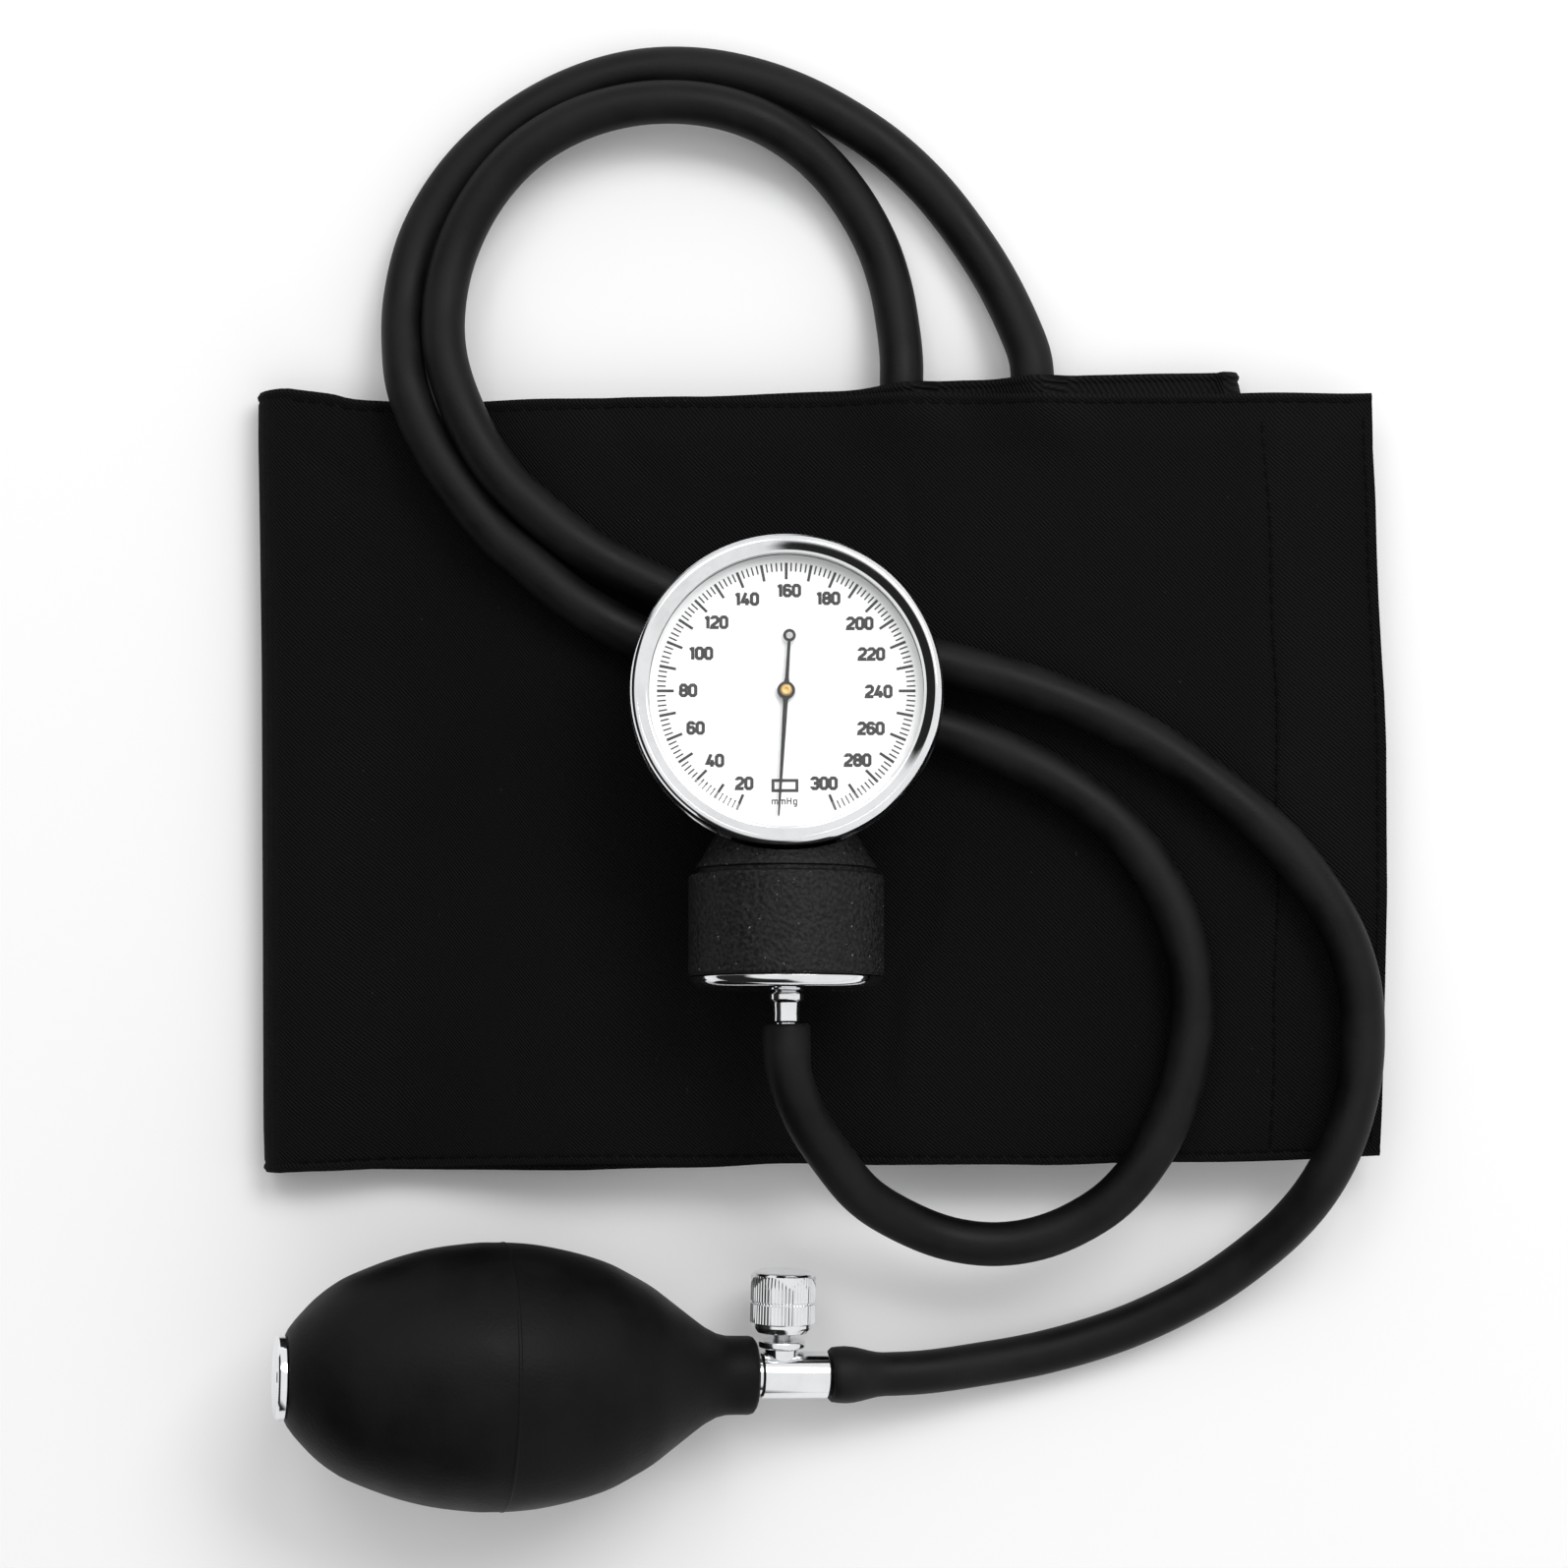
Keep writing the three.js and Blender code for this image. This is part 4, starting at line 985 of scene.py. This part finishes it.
# Each sign is its width and its strokes as (points, closed), in parts of the figures' height. The six
# letters name the left, right, bottom, top and middle of a figure and the cut of its corners.
L, R, B, T, M, C = 0.09, 0.57, 0.085, 0.915, 0.5, 0.13
OVER = [(L, T - C), (L + C, T), (R - C, T), (R, T - C)]
UNDER = [(R, B + C), (R - C, B), (L + C, B), (L, B + C)]
GLYPHS = {
    "0": (0.66, [([UNDER[-1]] + OVER + UNDER[:-1], True)]),
    "1": (0.44, [([(0.3, 0), (0.3, 1)], False), ([(0.32, 0.93), (0.08, 0.77)], False)]),
    "2": (0.66, [([(L, 0.75)] + OVER + [(R, 0.62), (R - 0.08, M), (L + 0.03, 0.22), (L, B), (R + 0.08, B)], False)]),
    "3": (0.66, [
        ([(L, 0.76)] + OVER + [(R, M + 0.11), (R - 0.1, M)], False),
        ([(0.24, M), (R - 0.1, M), (R, M - 0.11)] + UNDER + [(L, 0.24)], False),
    ]),
    "4": (0.68, [([(0.4, 1), (0.1, 0.28), (0.68, 0.28)], False), ([(0.47, 0.56), (0.47, 0)], False)]),
    "6": (0.66, [
        ([(R, 0.76)] + OVER[::-1] + [(L, M)], False),
        ([UNDER[-1], (L, M + 0.05), (R - C, M + 0.05), (R, M - 0.08)] + UNDER[:-1], True),
    ]),
    "8": (0.66, [
        ([
            (L + 0.02, M + 0.1), (L + 0.02, T - C), (L + C, T), (R - C, T), (R - 0.02, T - C), (R - 0.02, M + 0.1),
            (R - C, M + 0.01), (L + C, M + 0.01),
        ], True),
        ([UNDER[-1], (L, M - 0.1), (L + C, M + 0.01), (R - C, M + 0.01), (R, M - 0.1)] + UNDER[:-1], True),
    ]),
    "m": (0.95, [
        ([(0.06, 0), (0.06, 0.7)], False),
        ([(0.06, 0.64), (0.42, 0.64), (0.46, 0.56), (0.46, 0)], False),
        ([(0.46, 0.64), (0.82, 0.64), (0.86, 0.56), (0.86, 0)], False),
    ]),
    "H": (0.78, [
        ([(0.08, 0), (0.08, 1)], False),
        ([(0.62, 0), (0.62, 1)], False),
        ([(0.08, 0.52), (0.62, 0.52)], False),
    ]),
    "g": (0.66, [
        ([(0.08, 0.1), (0.08, 0.62), (0.5, 0.66), (0.5, 0.04), (0.12, 0.04)], True),
        ([(0.5, 0.66), (0.5, -0.2), (0.42, -0.27), (0.1, -0.27)], False),
    ]),
}
# The middle of each figure on the dial.
NUMERALS = {
    "20": (-7.45, -16.5), "40": (-12.68, -12.43), "60": (-16.1, -6.62), "80": (-17.45, 0.1),
    "100": (-15.2, 6.73), "120": (-12.5, 12.3), "140": (-7.05, 16.47), "160": (0.45, 17.99),
    "180": (7.45, 16.6), "200": (13.1, 12.1), "220": (15.17, 6.6), "240": (16.45, -0.1),
    "260": (15.06, -6.7), "280": (12.68, -12.36), "300": (6.7, -16.5),
}
ZERO_BOX = [(-2.36, -17.8), (1.9, -17.8), (1.9, -16.0), (-2.36, -16.0)]
INK_LOW, INK_HIGH = 0.004, 0.03
SCALE_START, SCALE_END, SCALE_RADIUS = 20, 300, 23.0
DEGREES_PER_UNIT = 1.125


def build_dial_print():
    """The scale, its numbers and the zero box as a thin layer of ink on the dial's face, and a thin dark ring near
    its edge that is painted shade, standing in for the shadow line where the bezel's lip meets the glass.
    """
    verts, faces = [], []

    def ink(quads):
        for (al, ar), (bl, br) in quads:
            faces.extend(tube_faces(len(verts), 2, 4))
            verts.extend((x, y, z) for z in (INK_LOW, INK_HIGH) for x, y in (ar, br, bl, al))

    def write(text, centre, height, weight, gap):
        widths = [GLYPHS[c][0] * height for c in text]
        x = centre[0] - (sum(widths) + gap * (len(text) - 1)) / 2
        for c, width in zip(text, widths):
            for points, closed in GLYPHS[c][1]:
                placed_points = [(x + px * height, centre[1] + (py - 0.5) * height) for px, py in points]
                ink(stroke(placed_points, weight, closed))
            x += width + gap

    for pressure in range(SCALE_START, SCALE_END + 1, 2):
        angle = math.radians(-90 - pressure * DEGREES_PER_UNIT)
        start, weight = (20.0, 0.5) if pressure % 10 == 0 else (21.45, 0.28)
        away = Vector((math.cos(angle), math.sin(angle)))
        ink(stroke([away * start, away * SCALE_RADIUS], weight))
    for text, centre in NUMERALS.items():
        write(text, centre, 2.25, 0.6, 0.14)
    ink(stroke(ZERO_BOX, 0.55, True))
    write("mmHg", (-0.27, -19.65), 1.2, 0.2, 0.2)
    # Painted shade: a thin dark ring laid like the print, standing in for the shadow line where the bezel's lip meets
    # the glass.
    rim = [Vector((math.cos(a), math.sin(a))) * 24.5 for a in (math.pi * k / 60 for k in range(120))]
    ink(stroke(rim, 0.14, True))
    finished("dial_scale", placed(verts, GAUGE), faces, "dial_ink", sharp=20, slot="needle_black")


def build_needle():
    """A slim pointer with a flat spine, and a small ring at its tail."""
    turning = GAUGE @ turn("Z", -3.4)
    blade = [(-22.5, 0.1), (-22.2, 0.15), (-16, 0.26), (-8, 0.36), (-2.2, 0.42), (-1.5, 0.55)]
    tail = [(1.5, 0.5), (2.2, 0.34), (6, 0.29), (8.95, 0.27)]
    verts, faces = [], []

    for stations in (blade, tail):
        faces += tube_faces(len(verts), len(stations), 5)
        for y, half in stations:
            verts += [(x, y, z) for x, z in ((-half, 1.0), (half, 1.0), (half, 1.2), (0, 1.34), (-half, 1.2))]
    for inner, outer, centre in ((0.92, 1.6, 0.0), (0.6, 1.14, 9.9)):
        ring_verts, ring_faces = turned(
            rounded([(outer, 1.0), (outer, 1.34), (inner, 1.34), (inner, 1.0)], 0.08, True), 40, True
        )
        base = len(verts)
        verts.extend((v[0], v[1] + centre, v[2]) for v in ring_verts)
        faces.extend([[base + k for k in face] for face in ring_faces])
    pointer = finished("pointer", placed(verts, turning), faces, "needle_black", "needle_assembly", sharp=30)
    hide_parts("needle")
    hub = [
        (0, 0.65), (0.6, 0.65), (0.6, 1.45), (1.05, 1.5), (1.05, 1.85), (0.8, 2.1), (0.42, 2.1), (0.36, 1.95),
        (0, 1.95),
    ]
    lathe("pointer_hub", "needle_hub", hub, GAUGE, "brass", sides=48, body="needle_assembly", soften=0.06)


def build_gauge():
    build_case()
    build_bezel()
    pane = [(0, 2.5), (26.2, 2.5), (26.2, 3.6), (0, 3.6)]
    lens = lathe("gauge_glass", "gauge_lens", pane, GAUGE, "clear_lens", soften=0.1)
    lens.visible_shadow = False
    seat = [(24.9, 0.3), (26, 0.3), (26, 2.2), (24.9, 2.2)]
    lathe("glass_seat", "lens_spacer_ring", seat, GAUGE, "spacer_ring", closed=True, soften=0.15)
    face = [(1, -0.5), (26, -0.5), (26, 0), (1, 0)]
    lathe("dial_face", "gauge_dial", face, GAUGE, "dial_enamel", closed=True, soften=0.05)
    build_dial_print()
    build_needle()
    cover = [
        (17.4, 51.0), (17.62, 51.1), (17.6, 51.5), (17.45, 51.95), (17.15, 52.4), (16.7, 52.78), (16.1, 53.05),
        (15.2, 53.22), (13, 53.35), (10, 53.45), (6, 53.5), (2.7, 53.5), (2.7, 51.1),
    ]
    lathe("drum_cover", "gauge_base_plate", cover, DRUM, "chrome_plate", closed=True, soften=0.1, sharp=35)
    barbed = [
        (2.4, 47.4), (2.4, 53.8), (3.0, 53.8), (3.25, 54.1), (3.25, 55.0), (3.0, 55.3), (2.55, 55.6), (2.45, 57.5),
        (2.5, 59), (2, 59.2), (2.5, 62), (2, 62.2), (2.5, 65), (2, 65.2), (2.4, 67.2), (1.9, 68), (1, 68), (1, 47.4),
    ]
    lathe(
        "hose_nipple", "gauge_nipple", barbed, DRUM, "chrome_plate", closed=True, sides=48, soften=0.12, sharp=35
    )


# ---------------------------------------------------------------- bulb and release valve


def hermite(a, b, c, d, t):
    """The value at t between b and c of a smooth curve through four values."""
    leaving, arriving = (c - a) / 2, (d - b) / 2
    start = (2 * t**3 - 3 * t**2 + 1) * b + (t**3 - 2 * t**2 + t) * leaving
    return start + (3 * t**2 - 2 * t**3) * c + (t**3 - t**2) * arriving


def build_bulb():
    outer = [
        (7.6, -39.35), (8.1, -39.5), (8.9, -39.1), (10.5, -37.9), (14.3, -34.3), (17.05, -30.7), (18.95, -27.1),
        (21.7, -19.8), (23.5, -12.7), (24.45, -5.3), (24.55, -1.7), (24.56, -0.25), (24.66, -0.05), (24.66, 0.3),
        (24.55, 0.5), (24.5, 2), (24.2, 5.7), (23.6, 9.4), (22.8, 13.1), (21.8, 16.8), (20.5, 20.4),
        (18.6, 24.1), (16.5, 27.8), (13.7, 31.6), (10.9, 35.3), (8.9, 38.1), (7.8, 40.2), (7.35, 42), (7.3, 44),
        (7.3, 46.4), (7.1, 47.1), (6.5, 47.55), (5.6, 47.6),
    ]
    fine = []
    for i in range(len(outer) - 1):
        p0, p1 = outer[max(i - 1, 0)], outer[i]
        p2, p3 = outer[i + 1], outer[min(i + 2, len(outer) - 1)]
        steps = 4 if math.dist(p1, p2) > 2.5 else 1
        for k in range(steps):
            fine.append(tuple(hermite(a, b, c, d, k / steps) for a, b, c, d in zip(p0, p1, p2, p3)))
    fine.append(outer[-1])
    inner = [
        (3.9, 47.6), (3.9, 40), (11.2, 31), (18.6, 17), (21.5, 3), (20.4, -13), (12, -32), (5.5, -35.8), (5.5, -39.3),
    ]
    lathe(
        "squeeze_bulb", "bulb_shell", fine + inner, AXIAL, "bulb_rubber", closed=True, sides=128, soften=0.02,
        slot="black_rubber",
    )
    cap = [
        (6.6, -41.5), (7.45, -41.35), (7.75, -41.0), (7.75, -39.85), (7.6, -39.65), (5.2, -39.6), (5.2, -30.8),
        (3, -30.8), (3, -37.2), (1.4, -38.2), (1.4, -40.6), (1.7, -41.0), (2.6, -41.1), (4.8, -41.2),
    ]
    lathe("intake_fitting", "intake_cap", cap, AXIAL, "chrome_plate", closed=True, soften=0.08, sharp=35)


def build_valve():
    body = [
        (3.6, 39.6), (3.6, 48.7), (4.2, 48.75), (4.4, 49.0), (4.4, 61.2), (4.25, 61.5), (4.0, 61.7), (2.1, 61.9),
        (2.6, 64.8), (2.1, 65), (2.6, 67.8), (2.1, 68), (2.5, 70.2), (2, 71), (1.2, 71), (1.2, 45), (2.7, 45),
        (2.7, 39.6),
    ]
    shell = tool(rounded(body, 0.08, True), AXIAL, 96, True)
    joined_by("UNION", shell, tool([(0, 0), (3.2, 0), (3.2, 4.9), (0, 4.9)], CROSS, 64))
    joined_by("DIFFERENCE", shell, tool([(0, -1.2), (1.9, -1.2), (1.9, 8), (0, 8)], CROSS, 48))
    carved(shell, "valve_barrel", "chrome_plate", "release_valve_body")
    ring = [(2.1, 5.2), (4.4, 5.2), (4.4, 6.5), (2.1, 6.5)]
    lathe("valve_ring", "valve_collar", ring, CROSS, "chrome_plate", closed=True, sides=64, soften=0.3)
    stem = [(0, 1), (0.8, 1), (1.6, 2.4), (1.6, 12.1), (0, 12.1)]
    lathe("release_stem", "valve_spindle", stem, CROSS, "steel", sides=48, body="valve_screw", soften=0.1)
    bore = [(0, 12.4), (2, 12.4), (2, 8.1), (2.3, 7.9)]
    knob = [
        (3.4, 7.9), (4.5, 7.95), (4.9, 8.1), (5.55, 8.9), (5.7, 9.2), (5.72, 9.75), (5.75, 9.8), (6.05, 9.95),
        (6.05, 11.6), (6.05, 13.45), (5.85, 13.6), (5.85, 13.85), (6.05, 14.0), (6.05, 16.4), (6.05, 18.3),
        (5.95, 18.8), (5.6, 19.2), (5.0, 19.4), (4.2, 19.42), (0, 19.42),
    ]
    lathe(
        "release_knob", "valve_knob", bore + knob, CROSS, "chrome_plate", sides=224, body="valve_screw",
        soften=0.03, ribs=(0.15, 9.95, 18.4), sharp=30,
    )


# ---------------------------------------------------------------- the whole

materials = build_materials()
build_stage()
slot_of = {part["node"]: part["material_slot"] for part in frame["record"]["subparts"]}
for node_name, piece in frame["nodes"].items():
    piece.data.materials.clear()
    piece.data.materials.append(materials[slot_of[node_name]])

build_hose("bulb_hose_visual", "bulb_hose", BULB_HOSE_ROUTE, valve_swelling, 2.75)
build_hose("gauge_hose_visual", "gauge_hose", GAUGE_HOSE_ROUTE, nipple_swelling, 2.6)
build_cuff()
build_gauge()
build_bulb()
build_valve()
